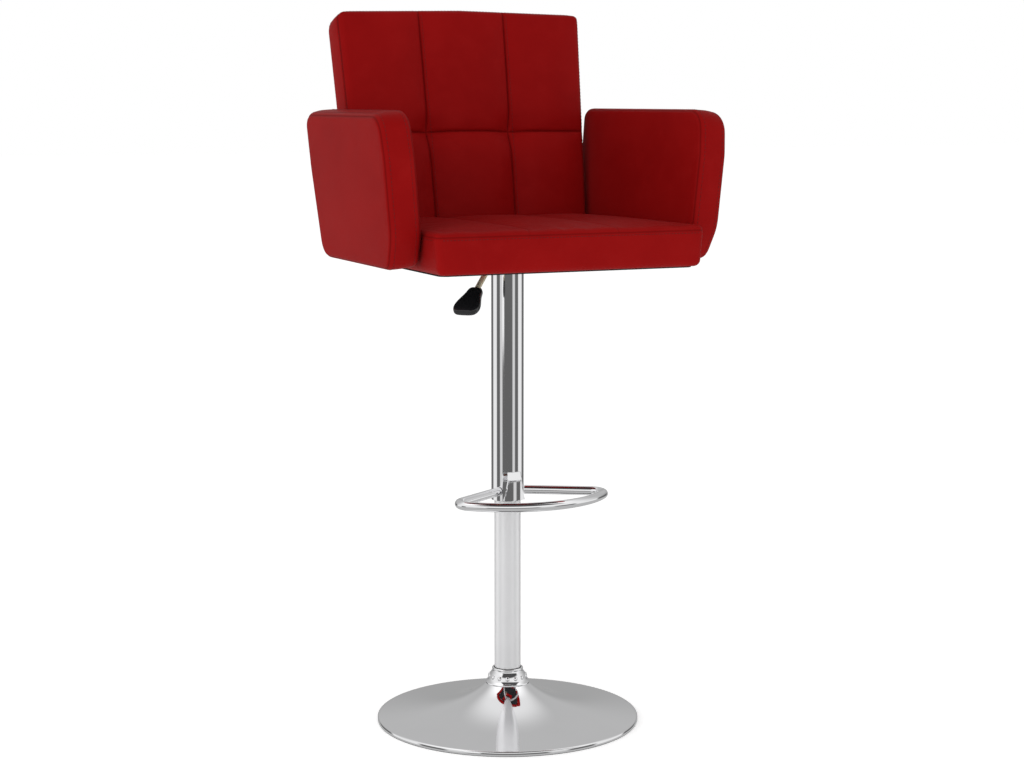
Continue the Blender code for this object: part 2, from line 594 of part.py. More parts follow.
# ---------------------------------------------------------------- seat mechanism
def add_mechanism():
    """The pressed cup, the taper socket in it, and the plate that is screwed to the seat board."""
    cup_r = MECH_CUP_D / 2
    through_r = CYLINDER_D / 2 + GAP
    inside_r = cup_r - MECH_CUP_WALL
    floor_z = MECH_Z + MECH_CUP_WALL
    rim_z = MECH_PLATE_Z - GAP
    bend = MECH_CUP_R - MECH_CUP_WALL / 2
    cup = [(through_r, MECH_Z), (cup_r - MECH_CUP_R, MECH_Z), (cup_r, MECH_Z + MECH_CUP_R), (cup_r, rim_z),
           (inside_r, rim_z), (inside_r, floor_z + bend), (inside_r - bend, floor_z), (through_r, floor_z)]
    cup_obj = add_turned("mechanism_cup", cup, BLACK_STEEL)
    frame = add_empty("mechanism_frame", (0, 0, 0), (0, 0, -LEVER_AZIMUTH))
    slot = cutter("lever_slot", box_mesh("lever_slot", (-0.006, -cup_r - 0.01, LEVER_Z - 0.008),
                                         (0.006, -LEVER_PIVOT_REACH, MECH_PLATE_Z + 0.01)), frame)
    cut(cup_obj, slot)
    socket = ring_profile(through_r, through_r + SOCKET_WALL, floor_z + GAP, floor_z + GAP + SOCKET_H)
    add_turned("taper_socket", socket, STEEL)

    plate = add_object("mechanism_plate", box_mesh("mechanism_plate",
                       (-MECH_PLATE / 2, -MECH_PLATE / 2, MECH_PLATE_Z),
                       (MECH_PLATE / 2, MECH_PLATE / 2, MECH_PLATE_Z + MECH_PLATE_T)), BLACK_STEEL)
    screw = screw_mesh("plate_screw", SCREW_D, SCREW_HEAD_D, SCREW_HEAD_H, MECH_PLATE_T + BOARD_T - 0.002)
    half = MECH_SCREW_SPAN / 2
    places = [(x, y) for x in (-half, half) for y in (-half, half)]
    holes = []
    for k, place in enumerate(places, 1):
        hole = peg_cutter(f"plate_screw_hole_{k}", SCREW_D / 2 + GAP, MECH_PLATE_Z - 0.005,
                          MECH_PLATE_Z + MECH_PLATE_T + BOARD_T + 0.005, place)
        cut(plate, hole)
        holes.append(hole)
        add_object(f"plate_screw_{k}", screw.copy(), STEEL, location=(*place, MECH_PLATE_Z - GAP))

    near = LEVER_ROD_D / 2 + 0.002
    far = near + CHEEK_T
    low = LEVER_Z - 0.0045
    bridge = rim_z - 0.0015
    outline = [(-far, low), (-near, low), (-near, bridge), (near, bridge), (near, low), (far, low),
               (far, rim_z), (-far, rim_z)]
    bracket = add_object("pivot_bracket", prism_mesh("pivot_bracket", outline, 0.010, "Y"), STEEL, frame,
                         (0, -LEVER_PIVOT_REACH, 0))
    bore = cutter("pivot_bore", pin_mesh("pivot_bore", LEVER_PIN_D / 2 + GAP, 0.05), frame,
                  (0, -LEVER_PIVOT_REACH, LEVER_Z))
    cut(bracket, bore)
    add_object("lever_pin", pin_mesh("lever_pin", LEVER_PIN_D / 2, 2 * far + 0.002), STEEL,
               frame, (0, -LEVER_PIVOT_REACH, LEVER_Z))
    return holes


def pin_mesh(name, radius, length):
    """A round pin along X, centred on its own origin."""
    bm = bmesh.new()
    bmesh.ops.create_cone(bm, cap_ends=True, segments=12, radius1=radius, radius2=radius, depth=length,
                          matrix=Matrix.Rotation(math.pi / 2, 4, "Y"))
    return mesh_from(bm, name)


def add_lever():
    """The lever's rod and its moulded paddle, hung from the pivot."""
    pivot = direction(LEVER_AZIMUTH, -1) * LEVER_PIVOT_REACH + Vector((0, 0, LEVER_Z))
    hinge = add_empty("lever_hinge", pivot, (0, 0, -LEVER_AZIMUTH))
    neck = Vector((0, LEVER_PIVOT_REACH - PADDLE_START, -LEVER_DROP))
    ahead = Vector((0, -math.cos(PADDLE_SLOPE), -math.sin(PADDLE_SLOPE)))
    corner = Vector((0, neck.y - neck.z / math.tan(PADDLE_SLOPE), 0))
    near = corner + Vector((0, LEVER_BEND, 0))
    far = corner + ahead * LEVER_BEND
    points = [Vector((0, LEVER_PIVOT_REACH + 0.003, 0))]
    steps = 6
    for k in range(steps + 1):
        t = k / steps
        points.append((1 - t) ** 2 * near + 2 * t * (1 - t) * corner + t ** 2 * far)
    points.append(neck + ahead * (PADDLE_SOCKET - 0.001))
    rod = add_object("lever_rod", bent_rod_mesh("lever_rod", points, LEVER_ROD_D / 2), ZINC, hinge)
    pin_hole = cutter("lever_pin_hole", pin_mesh("lever_pin_hole", LEVER_PIN_D / 2 + GAP, 0.03), hinge)
    cut(rod, pin_hole)

    neck_w = PADDLE_NECK_W / 2
    end_w = PADDLE_END_W / 2
    half = [(neck_w, 0, 0.003), (neck_w, -PADDLE_L * 0.2, 0.010), (end_w, -PADDLE_L * 0.72, 0.014),
            (end_w * 0.82, -PADDLE_L, 0.007)]
    outline = rounded_outline([(-x, y, r) for x, y, r in half] + list(reversed(half)), 3)
    paddle_mesh = prism_mesh("lever_paddle", outline, PADDLE_T, "Z")
    paddle = add_object("lever_paddle", paddle_mesh, GLOSS_BLACK, hinge, neck, (PADDLE_SLOPE, 0, 0))
    soften(paddle, 0.003, 2)
    bm = bmesh.new()
    bmesh.ops.create_cone(bm, cap_ends=True, segments=16, radius1=LEVER_ROD_D / 2 + GAP,
                          radius2=LEVER_ROD_D / 2 + GAP, depth=2 * PADDLE_SOCKET,
                          matrix=Matrix.Rotation(math.pi / 2, 4, "X"))
    socket = cutter("paddle_socket", mesh_from(bm, "paddle_socket"), hinge, neck, (PADDLE_SLOPE, 0, 0))
    cut(paddle, socket)


# ---------------------------------------------------------------- arms
def arm_inner_x(y, z):
    """Half the width between the arms' inner faces."""
    outer_x = ARM_OUTER_X - math.tan(ARM_TOE) * y + math.tan(ARM_TILT) * (z - ARM_MID_Z)
    return outer_x - ARM_T / math.cos(ARM_TILT)


def leg_point(frame_lean, offset, height):
    """Where a leaning face, so far from its hinge line, stands at a height over that line."""
    along = (height + offset * math.sin(frame_lean)) / math.cos(frame_lean)
    return offset * math.cos(frame_lean) + along * math.sin(frame_lean)


def strap_outline(lean, near, far, hinge_z, start):
    """A strap that runs level under the seat board and then up inside a leaning pad."""
    low = STRAP_Z - hinge_z
    high = low + STRAP_T
    top = low + STRAP_UP
    end_z = STRAP_Z + STRAP_UP
    upper_z = STRAP_Z + STRAP_T
    return [(start, STRAP_Z), (leg_point(lean, far, low), STRAP_Z), (leg_point(lean, far, top), end_z),
            (leg_point(lean, near, top), end_z), (leg_point(lean, near, high), upper_z), (start, upper_z)]


def strap_hole(name, place, parent, strap, seat_board):
    """Drill a strap and the board over it, and put the screw in."""
    hole = peg_cutter(name + "_hole", SCREW_D / 2 + GAP, STRAP_Z - 0.004, SEAT_BOARD_Z + BOARD_T + 0.004,
                      place, parent)
    cut(strap, hole)
    cut(seat_board, hole)
    screw = screw_mesh(name, SCREW_D, SCREW_HEAD_D, SCREW_HEAD_H, STRAP_T + BOARD_T - 0.002)
    add_object(name, screw, STEEL, parent, (*place, STRAP_Z - GAP))


def arm_outline():
    """The arm's side view, (y, z) from half its height: a bulging front and a leaning rear."""
    low = ARM_BOTTOM - ARM_MID_Z
    high = ARM_TOP - ARM_MID_Z
    return rounded_outline([
        (ARM_FRONT + 0.026, low, 0.022), (ARM_FRONT + 0.003, low + 0.045, 0.06),
        (ARM_FRONT, high - 0.060, 0.06), (ARM_FRONT + 0.008, high, 0.030),
        (ARM_REAR, high, 0.030), (ARM_REAR - 0.002, high - 0.080, 0.06),
        (ARM_REAR - 0.020, low, 0.028)], 4)


def add_arm(name, side, seat_cushion, seat_board):
    """One arm: its padded panel, the board in it, and two straps from the seat board."""
    frame = add_empty(name + "_frame", (side * ARM_OUTER_X, 0, 0), (0, 0, side * ARM_TOE))
    lean = add_empty(name + "_lean", (0, 0, ARM_MID_Z), (0, side * ARM_TILT, 0), frame)
    cushion = add_object(name + "_cushion", prism_mesh(name + "_cushion", arm_outline(), ARM_T), RED_LEATHER,
                         lean, (-side * ARM_T / 2, 0, 0))
    soften(cushion, ARM_EDGE_R)

    pocket_x = ARM_T - ARM_POCKET_INNER - BOARD_POCKET_T / 2
    board_x = ARM_T - ARM_POCKET_INNER - 2 * GAP - STRAP_T - BOARD_T / 2
    board_low = ARM_BOTTOM - ARM_MID_Z + 0.014
    mid_y = (ARM_FRONT + ARM_REAR) / 2
    board_mesh = box_mesh(name + "_board", (-BOARD_T / 2, -ARM_BOARD_L / 2, board_low),
                          (BOARD_T / 2, ARM_BOARD_L / 2, board_low + ARM_BOARD_H))
    add_object(name + "_board", board_mesh, PLYWOOD, lean, (-side * board_x, mid_y, 0))
    pocket_mesh = box_mesh(name + "_pocket", (-BOARD_POCKET_T / 2, -ARM_BOARD_L / 2 - GAP, board_low - 0.05),
                           (BOARD_POCKET_T / 2, ARM_BOARD_L / 2 + GAP, board_low + ARM_BOARD_H + GAP))
    cut(cushion, cutter(name + "_pocket", pocket_mesh, lean, (-side * pocket_x, mid_y, 0)))

    near = -side * (ARM_T - ARM_POCKET_INNER - GAP)
    far = near + side * STRAP_T
    start = -side * (ARM_T + ARM_STRAP_IN)
    outline = strap_outline(side * ARM_TILT, near, far, ARM_MID_Z, start)
    notch_end = far + side * 0.008
    for k, y in enumerate(ARM_STRAP_YS, 1):
        strap_mesh = prism_mesh("strap", outline, STRAP_W, "Y")
        strap = add_object(f"{name}_strap_{k}", strap_mesh, STEEL, frame, (0, y, 0))
        left, right = sorted((start - side * GAP, notch_end))
        notch_mesh = box_mesh("notch", (left, -STRAP_W / 2 - GAP, SEAT_BOTTOM - 0.01),
                              (right, STRAP_W / 2 + GAP, STRAP_Z + STRAP_T + GAP))
        notch = cutter(f"{name}_notch_{k}", notch_mesh, frame, (0, y, 0))
        cut(cushion, notch)
        cut(seat_cushion, notch)
        strap_hole(f"{name}_strap_screw_{k}", (start + side * STRAP_W / 2, y), frame, strap, seat_board)


# ---------------------------------------------------------------- seat
def seat_rear_y(z):
    """Where the cushion's rear face stands, just ahead of the leaning backrest."""
    return BACK_FRONT_Y + math.tan(BACK_RECLINE) * (z - SEAT_TOP) - SEAT_BACK_GAP


def seat_plan(inset, corner_r):
    """The seat's plan at half its height, drawn in by the inset."""
    front = SEAT_FRONT + inset
    rear = seat_rear_y(SEAT_MID_Z) - inset
    half_front = arm_inner_x(front, SEAT_MID_Z) - SEAT_SIDE_GAP - inset
    half_rear = arm_inner_x(rear, SEAT_MID_Z) - SEAT_SIDE_GAP - inset
    return rounded_outline([(-half_front, front, corner_r), (half_front, front, corner_r),
                            (half_rear, rear, corner_r), (-half_rear, rear, corner_r)], 4)


def lean_sides(mesh):
    """Lean the cushion's sides out like the arms, and its rear like the backrest."""
    rear = seat_rear_y(SEAT_MID_Z)
    for vert in mesh.vertices:
        rise = vert.co.z - SEAT_MID_Z
        if vert.co.y > rear / 2:
            vert.co.y += math.tan(BACK_RECLINE) * rise
        vert.co.x += math.copysign(1, vert.co.x) * math.tan(ARM_TILT) * rise


def add_seat_pads():
    """The seat cushion with a pocket under it for the board, and the cloth sheet that closes it."""
    mesh = prism_mesh("seat_cushion", seat_plan(0, SEAT_CORNER_R), SEAT_TOP - SEAT_BOTTOM, "Z")
    mesh.transform(Matrix.Translation((0, 0, SEAT_MID_Z)))
    lean_sides(mesh)
    cushion = add_object("seat_cushion", mesh, RED_LEATHER)
    soften(cushion, SEAT_EDGE_R)
    board_plan = seat_plan(SEAT_RIM, 0.02)
    board = add_object("seat_board", prism_mesh("seat_board", board_plan, BOARD_T, "Z"), PLYWOOD,
                       location=(0, 0, SEAT_BOARD_Z + BOARD_T / 2))
    pocket_top = SEAT_BOARD_Z + BOARD_T + GAP
    pocket_low = SEAT_BOTTOM - 0.01
    pocket = cutter("seat_pocket", prism_mesh("seat_pocket", seat_plan(SEAT_RIM - GAP, 0.02),
                    pocket_top - pocket_low, "Z"), location=(0, 0, (pocket_top + pocket_low) / 2))
    cut(cushion, pocket)
    sheet_z = SEAT_BOTTOM - GAP - UNDER_SHEET_T / 2
    shrink = SEAT_SIDE_GAP + UNDER_SHEET_INSET
    sheet = add_object("underside_sheet", prism_mesh("underside_sheet", seat_plan(shrink, SEAT_CORNER_R),
                       UNDER_SHEET_T, "Z"), BLACK_CLOTH, location=(0, 0, sheet_z))
    half = UNDER_SHEET_OPENING / 2
    cut(sheet, cutter("sheet_opening", box_mesh("sheet_opening", (-half, -half, sheet_z - 0.01),
                                                (half, half, sheet_z + 0.01))))
    return cushion, board


# ---------------------------------------------------------------- backrest
def add_backrest(seat_cushion, seat_board):
    """The leaning padded back, the board in it, and two straps from the seat board."""
    lean = add_empty("back_lean", (0, BACK_FRONT_Y, SEAT_TOP), (-BACK_RECLINE, 0, 0))
    stretch = math.cos(BACK_RECLINE)
    low = (BACK_BOTTOM - SEAT_TOP) / stretch
    high = (BACK_TOP - SEAT_TOP) / stretch
    rear_low_y = BACK_FRONT_Y + BACK_T
    half_low = arm_inner_x(rear_low_y, BACK_BOTTOM) - BACK_SIDE_GAP
    half_high = half_low + BACK_TAPER * (high - low)
    outline = rounded_outline([(-half_low, low, BACK_CORNER_R), (half_low, low, BACK_CORNER_R),
                               (half_high, high - BACK_CROWN, BACK_CORNER_R), (0, high, 0.02),
                               (-half_high, high - BACK_CROWN, BACK_CORNER_R)], 4)
    cushion = add_object("back_cushion", prism_mesh("back_cushion", outline, BACK_T, "Y"), RED_LEATHER, lean,
                         (0, BACK_T / 2, 0))
    soften(cushion, BACK_EDGE_R)
    board_low = low + 0.020
    board_y = BACK_POCKET_FRONT + 2 * GAP + STRAP_T + BOARD_T / 2
    half = half_low - BACK_BOARD_MARGIN
    board_mesh = box_mesh("back_board", (-half, -BOARD_T / 2, board_low),
                          (half, BOARD_T / 2, board_low + BACK_BOARD_H))
    add_object("back_board", board_mesh, PLYWOOD, lean, (0, board_y, 0))
    pocket_mesh = box_mesh("back_pocket", (-half - GAP, 0, low - 0.05),
                           (half + GAP, BOARD_POCKET_T, board_low + BACK_BOARD_H + GAP))
    cut(cushion, cutter("back_pocket", pocket_mesh, lean, (0, BACK_POCKET_FRONT, 0)))

    near = BACK_POCKET_FRONT + GAP
    far = near + STRAP_T
    start = -(BACK_FRONT_Y - seat_rear_y(SEAT_BOTTOM)) - BACK_STRAP_IN
    outline = strap_outline(BACK_RECLINE, near, far, SEAT_TOP, start)
    for side, name in ((-1, "right"), (1, "left")):
        x = side * BACK_STRAP_X
        strap = add_object(f"back_strap_{name}", prism_mesh("strap", outline, STRAP_W, "X"), STEEL,
                           location=(x, BACK_FRONT_Y, 0))
        notch_mesh = box_mesh("notch", (-STRAP_W / 2 - GAP, start - GAP, SEAT_BOTTOM - 0.01),
                              (STRAP_W / 2 + GAP, far + 0.002, STRAP_Z + STRAP_T + GAP))
        notch = cutter(f"back_notch_{name}", notch_mesh, location=(x, BACK_FRONT_Y, 0))
        cut(cushion, notch)
        cut(seat_cushion, notch)
        screw_place = (x, BACK_FRONT_Y + start + STRAP_W / 2)
        strap_hole(f"back_strap_screw_{name}", screw_place, None, strap, seat_board)


# ---------------------------------------------------------------- the whole stool
def build():
    """Make every piece of the stool."""
    clear_scene()
    add_base_shell()
    add_weight_and_foot()
    add_floor_ring()
    add_column()
    add_thrust_bearing()
    add_piston_rod()
    add_gas_cylinder()
    add_cover_tube()
    add_footrest()
    plate_holes = add_mechanism()
    add_lever()
    seat_cushion, seat_board = add_seat_pads()
    for hole in plate_holes:
        cut(seat_board, hole)
    add_arm("right_arm", -1, seat_cushion, seat_board)
    add_arm("left_arm", 1, seat_cushion, seat_board)
    add_backrest(seat_cushion, seat_board)


build()
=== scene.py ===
"""Bar stool with arms: red leather upholstery, chrome pedestal, footrest and lift lever."""
import json
import math

import bmesh
import bpy
import numpy as np
from mathutils import Matrix, Vector
from mathutils.bvhtree import BVHTree


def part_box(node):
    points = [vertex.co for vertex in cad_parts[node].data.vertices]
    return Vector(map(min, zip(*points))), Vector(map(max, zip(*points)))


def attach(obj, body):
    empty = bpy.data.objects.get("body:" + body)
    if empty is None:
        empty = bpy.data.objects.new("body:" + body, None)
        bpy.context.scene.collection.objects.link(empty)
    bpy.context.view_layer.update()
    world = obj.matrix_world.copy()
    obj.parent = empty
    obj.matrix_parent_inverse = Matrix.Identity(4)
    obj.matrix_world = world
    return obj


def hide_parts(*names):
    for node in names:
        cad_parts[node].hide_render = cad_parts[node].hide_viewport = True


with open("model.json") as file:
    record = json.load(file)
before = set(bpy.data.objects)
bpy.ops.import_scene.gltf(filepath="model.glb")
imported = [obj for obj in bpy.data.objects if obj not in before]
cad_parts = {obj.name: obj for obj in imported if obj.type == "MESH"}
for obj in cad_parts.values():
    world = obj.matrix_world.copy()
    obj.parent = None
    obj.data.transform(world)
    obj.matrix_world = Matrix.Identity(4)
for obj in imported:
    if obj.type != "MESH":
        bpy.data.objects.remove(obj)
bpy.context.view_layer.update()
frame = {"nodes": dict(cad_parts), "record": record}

# ---------------------------------------------------------------- sizes that the CAD boxes don't give
ARM_TOE = math.radians(3.0)
ARM_TILT = math.radians(5.2)
BACK_RECLINE = math.radians(10)
FOOTREST_SPREAD = math.radians(58)
FOOTREST_CORNER_R = 0.022
LEVER_AZIMUTH = math.radians(47)
PADDLE_SLOPE = math.radians(31)
BASE_SLOPE = 0.09
BASE_FLARE = 0.039
SEAM_W = 0.0009
STITCH_PITCH = 0.0052
STITCH_L = 0.0036
STITCH_R = 0.00042
STITCH_LIFT = 0.0001
TOPSTITCH = 0.0048          # from a seam to its row of stitches
STUD_R = 0.0034

CAMERA_PLACE = (-1.3180, -2.7591, 0.9132)
CAMERA_TURN = (math.radians(90 - 7.7048), 0, math.radians(-25.657))
CAMERA_LENS = 74.61
FROM_CAMERA = math.atan2(CAMERA_PLACE[1], CAMERA_PLACE[0])

# the dark studio that only mirrors see: strip lights by azimuth from the camera's side, half width, brightness
STUDIO_DARK = 0.14
STRIP_LIGHTS = ((-100, 15, 0.8), (-45, 5, 0.6), (45, 5, 0.6), (100, 15, 0.8), (180, 30, 0.25))
STRIP_EDGE = 8              # degrees over which a strip light fades out


# ---------------------------------------------------------------- shader maths
class Value:
    """One number or vector on a node's socket, which can be added, scaled and raised."""

    def __init__(self, tree, socket):
        self.tree = tree
        self.socket = socket

    def _maths(self, operation, first, second=None):
        inputs = {0: first} if second is None else {0: first, 1: second}
        return self.tree.node("ShaderNodeMath", {"operation": operation}, inputs)

    def __add__(self, other):
        return self._maths("ADD", self, other)

    def __sub__(self, other):
        return self._maths("SUBTRACT", self, other)

    def __mul__(self, other):
        return self._maths("MULTIPLY", self, other)

    def __truediv__(self, other):
        return self._maths("DIVIDE", self, other)

    def __rsub__(self, other):
        return self._maths("SUBTRACT", other, self)

    __radd__ = __add__
    __rmul__ = __mul__

    def step(self, low, high):
        """0 below low, 1 above high, smooth between."""
        settings = {"interpolation_type": "SMOOTHSTEP"}
        return self.tree.node("ShaderNodeMapRange", settings, {"Value": self, "From Min": low, "From Max": high})

    def other(self, operation, second=None):
        """Any other operation of a Math node."""
        return self._maths(operation, self, second)


class Tree:
    """Adds nodes to a material or a world."""

    def __init__(self, block):
        block.use_nodes = True
        self.nodes = block.node_tree.nodes
        self.links = block.node_tree.links
        self.nodes.clear()

    def node(self, kind, settings=None, inputs=None, out=0):
        """Add a node with its settings, then the values or links of its sockets."""
        node = self.nodes.new(kind)
        for key, value in (settings or {}).items():
            setattr(node, key, value)
        for key, value in (inputs or {}).items():
            socket = node.inputs[key]
            if isinstance(value, Value):
                self.links.new(value.socket, socket)
            else:
                socket.default_value = value
        return Value(self, node.outputs[out] if len(node.outputs) else None)

    def mix(self, factor, first, second):
        """Blend two colours."""
        inputs = {0: factor, 6: first, 7: second}
        return self.node("ShaderNodeMix", {"data_type": "RGBA"}, inputs, out=2)

    def noise(self, scale, detail=2.0, roughness=0.5, stretch=None):
        """Noise in the piece's own coordinates."""
        place = self.place()
        if stretch:
            place = self.node("ShaderNodeMapping", None, {"Vector": place, "Scale": stretch})
        return self.node("ShaderNodeTexNoise", None,
                         {"Vector": place, "Scale": scale, "Detail": detail, "Roughness": roughness})

    def place(self):
        """Object coordinates."""
        return self.node("ShaderNodeTexCoord", out="Object")

    def attribute(self, name):
        """A number painted on the piece's points."""
        return self.node("ShaderNodeAttribute", {"attribute_name": name}, out="Fac")

    def bump(self, height, strength, distance):
        """A bumped normal."""
        return self.node("ShaderNodeBump", None, {"Height": height, "Strength": strength, "Distance": distance})


def finish(name, colour, **inputs):
    """A Principled material; its fixed numbers sit on the shader's own sockets."""
    material = bpy.data.materials.new(name)
    tree = Tree(material)
    values = {"Base Color": (*colour, 1.0)}
    values.update(inputs)
    shader = tree.node("ShaderNodeBsdfPrincipled", None, values)
    tree.node("ShaderNodeOutputMaterial", None, {"Surface": shader})
    return material, tree, shader.socket.node


def feed(tree, shader, **values):
    """Link varying values to the shader."""
    for key, value in values.items():
        tree.links.new(value.socket, shader.inputs[key.replace("_", " ")])


def make_leather():
    """Smooth red leather cloth: fine pebbled grain, soft mottling, duller in the seams and darkened there with
    painted shade.
    """
    material, tree, shader = finish("red_leather_look", (0.25, 0.004, 0.004), **{
        "Specular IOR Level": 0.028, "Sheen Weight": 0.015, "Sheen Roughness": 0.45,
        "Sheen Tint": (1.0, 0.72, 0.70, 1.0)})
    seam = tree.attribute("seam")
    cells = tree.node("ShaderNodeTexVoronoi", {"feature": "DISTANCE_TO_EDGE"},
                      {"Vector": tree.place(), "Scale": 950.0})
    pores = tree.noise(2600.0, 2.0)
    mottle = tree.noise(9.0, 3.0, 0.55)
    rub = tree.noise(38.0, 4.0, 0.6)
    lit = tree.mix(mottle.step(0.3, 0.7), (0.236, 0.0030, 0.0032, 1.0), (0.264, 0.0040, 0.0040, 1.0))
    worn = tree.mix(rub.step(0.45, 0.75) * 0.35, lit, (0.280, 0.0062, 0.0060, 1.0))
    # painted shade: the colour falls to near-black red along the seams, standing in for the shade in their grooves
    dark = tree.mix(seam * 0.55, worn, (0.060, 0.0009, 0.0010, 1.0))
    grain = cells.step(0.0, 0.22) * 0.7 + pores * 0.3
    feed(tree, shader, Base_Color=dark, Roughness=0.43 + rub * 0.08 + seam * 0.12 - grain * 0.04,
         Normal=tree.bump(grain, 0.28, 0.00022))
    return material


def make_thread():
    """Twisted red sewing thread."""
    material, tree, shader = finish("thread_look", (0.12, 0.002, 0.003), **{"Specular IOR Level": 0.3})
    twist = tree.noise(1800.0, 1.0)
    feed(tree, shader, Base_Color=tree.mix(twist, (0.07, 0.0012, 0.0016, 1.0), (0.16, 0.004, 0.005, 1.0)),
         Roughness=0.55 + twist * 0.2, Normal=tree.bump(twist, 0.5, 0.0002))
    return material


def make_chrome():
    """Bright chrome with faint polishing haze and a few smudges."""
    tint = (0.86, 0.86, 0.87)
    material, tree, shader = finish("chrome_look", tint, Metallic=1.0, **{"Specular IOR Level": 0.5})
    haze = tree.noise(14.0, 4.0, 0.6)
    smudge = tree.noise(55.0, 5.0, 0.7).step(0.55, 0.8)
    fine = tree.noise(900.0)
    colour = tree.mix(haze, (*tint, 1.0), (*(0.95 * c for c in tint), 1.0))
    feed(tree, shader, Base_Color=colour, Roughness=0.035 + haze * 0.02 + smudge * 0.03,
         Normal=tree.bump(fine, 0.02, 0.00002))
    return material


def make_satin_chrome():
    """The lower column's pale satin finish, with fine turned lines round it."""
    material, tree, shader = finish("satin_chrome_look", (0.84, 0.84, 0.85), Metallic=0.42,
                                    **{"Specular IOR Level": 0.5})
    lines = tree.noise(60.0, 3.0, 0.7, stretch=(1.0, 1.0, 90.0))
    haze = tree.noise(11.0, 3.0)
    colour = tree.mix(haze, (0.88, 0.88, 0.89, 1.0), (0.80, 0.80, 0.81, 1.0))
    feed(tree, shader, Base_Color=colour, Roughness=0.27 + lines * 0.12, Normal=tree.bump(lines, 0.06, 0.00005))
    return material


def make_metal(name, colour, rough, metallic=1.0, spots=120.0, wear=(0.5, 0.5, 0.5)):
    """Plated or painted metal with a cloudy surface and a few worn spots."""
    material, tree, shader = finish(name, colour, **{"Specular IOR Level": 0.5})
    cloud = tree.noise(spots, 4.0, 0.6)
    worn = tree.noise(spots * 0.3, 5.0, 0.7).step(0.62, 0.8)
    shade = tree.mix(cloud, (*(0.8 * c for c in colour), 1.0), (*colour, 1.0))
    feed(tree, shader, Base_Color=tree.mix(worn * 0.4, shade, (*wear, 1.0)),
         Roughness=rough + cloud * 0.14, Metallic=metallic - worn * 0.1,
         Normal=tree.bump(cloud, 0.12, 0.0002))
    return material


def make_plastic(name, colour, rough, grain):
    """Moulded plastic or rubber with a fine spark-eroded grain."""
    material, tree, shader = finish(name, colour, **{"Specular IOR Level": 0.5})
    pits = tree.noise(1500.0, 2.0)
    haze = tree.noise(60.0, 4.0, 0.65)
    shade = tree.mix(haze, (*colour, 1.0), (*(1.7 * c for c in colour), 1.0))
    feed(tree, shader, Base_Color=shade, Roughness=rough + haze * 0.1, Normal=tree.bump(pits, grain, 0.00015))
    return material


def make_plywood():
    """Pale plywood with long grain and thin glue lines."""
    material, tree, shader = finish("plywood_look", (0.5, 0.34, 0.19), **{"Specular IOR Level": 0.3})
    grain = tree.noise(26.0, 6.0, 0.7, stretch=(14.0, 1.0, 14.0))
    plies = tree.noise(1.0, 1.0, stretch=(4.0, 4.0, 620.0)).step(0.46, 0.56)
    wood = tree.mix(grain, (0.36, 0.22, 0.11, 1.0), (0.62, 0.44, 0.26, 1.0))
    feed(tree, shader, Base_Color=tree.mix(plies * 0.3, wood, (0.22, 0.12, 0.06, 1.0)),
         Roughness=0.62 + grain * 0.2, Normal=tree.bump(grain, 0.3, 0.0004))
    return material


def make_lining():
    """Black bonded dust-cover cloth, dimpled in a fine square grid."""
    material, tree, shader = finish("lining_look", (0.012, 0.012, 0.013), **{"Specular IOR Level": 0.2})
    cells = tree.node("ShaderNodeTexVoronoi", {"feature": "F1"},
                      {"Vector": tree.place(), "Scale": 620.0, "Randomness": 0.25})
    fibre = tree.noise(700.0, 4.0, 0.7)
    colour = tree.mix(fibre, (0.008, 0.008, 0.009, 1.0), (0.030, 0.030, 0.032, 1.0))
    feed(tree, shader, Base_Color=colour, Roughness=0.85 + fibre * 0.1, Normal=tree.bump(cells, 0.5, 0.0004))
    return material


LEATHER = make_leather()
THREAD = make_thread()
CHROME = make_chrome()
SATIN_CHROME = make_satin_chrome()
ZINC = make_metal("yellow_zinc_look", (0.97, 0.90, 0.64), 0.24, 0.35, wear=(0.5, 0.46, 0.4))
STEEL = make_metal("plated_steel_look", (0.55, 0.55, 0.54), 0.30)
BLACK_METAL = make_metal("black_metal_look", (0.022, 0.022, 0.023), 0.38, 0.25, wear=(0.05, 0.05, 0.05))
IRON = make_metal("cast_iron_look", (0.10, 0.10, 0.10), 0.62, 0.5, 260.0, (0.13, 0.10, 0.08))
BRASS = make_metal("brass_look", (0.70, 0.52, 0.22), 0.22, wear=(0.45, 0.32, 0.14))
RUBBER = make_plastic("rubber_look", (0.018, 0.018, 0.018), 0.75, 0.4)
GLOSS_BLACK = make_plastic("gloss_black_look", (0.008, 0.008, 0.009), 0.13, 0.03)
NYLON = make_plastic("nylon_look", (0.05, 0.05, 0.052), 0.42, 0.15)
PLYWOOD = make_plywood()
LINING = make_lining()

FINISHES = {"red_leather": LEATHER, "chrome": CHROME, "satin_chrome": SATIN_CHROME, "plated_steel": STEEL,
            "yellow_zinc": ZINC, "black_metal": BLACK_METAL, "cast_iron": IRON, "brass": BRASS,
            "rubber": RUBBER, "nylon": NYLON, "black_plastic": GLOSS_BLACK, "plywood": PLYWOOD,
            "black_lining": LINING}


# ---------------------------------------------------------------- small helpers
def add_piece(name, mesh, material, body, replaces=(), smooth_angle=40):
    """Put a finished mesh in the scene, on its body."""
    piece = bpy.data.objects.new(name, mesh)
    bpy.context.scene.collection.objects.link(piece)
    mesh.materials.clear()
    mesh.materials.append(material)
    mesh.shade_smooth()
    mesh.set_sharp_from_angle(angle=math.radians(smooth_angle))
    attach(piece, body)
    if replaces:
        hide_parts(*replaces)
    return piece


def mesh_of(bm, name):
    """Turn a bmesh into a mesh, its doubles merged and its faces out."""
    bmesh.ops.remove_doubles(bm, verts=bm.verts, dist=1e-6)
    bmesh.ops.recalc_face_normals(bm, faces=bm.faces)
    mesh = bpy.data.meshes.new(name)
    bm.to_mesh(mesh)
    bm.free()
    return mesh


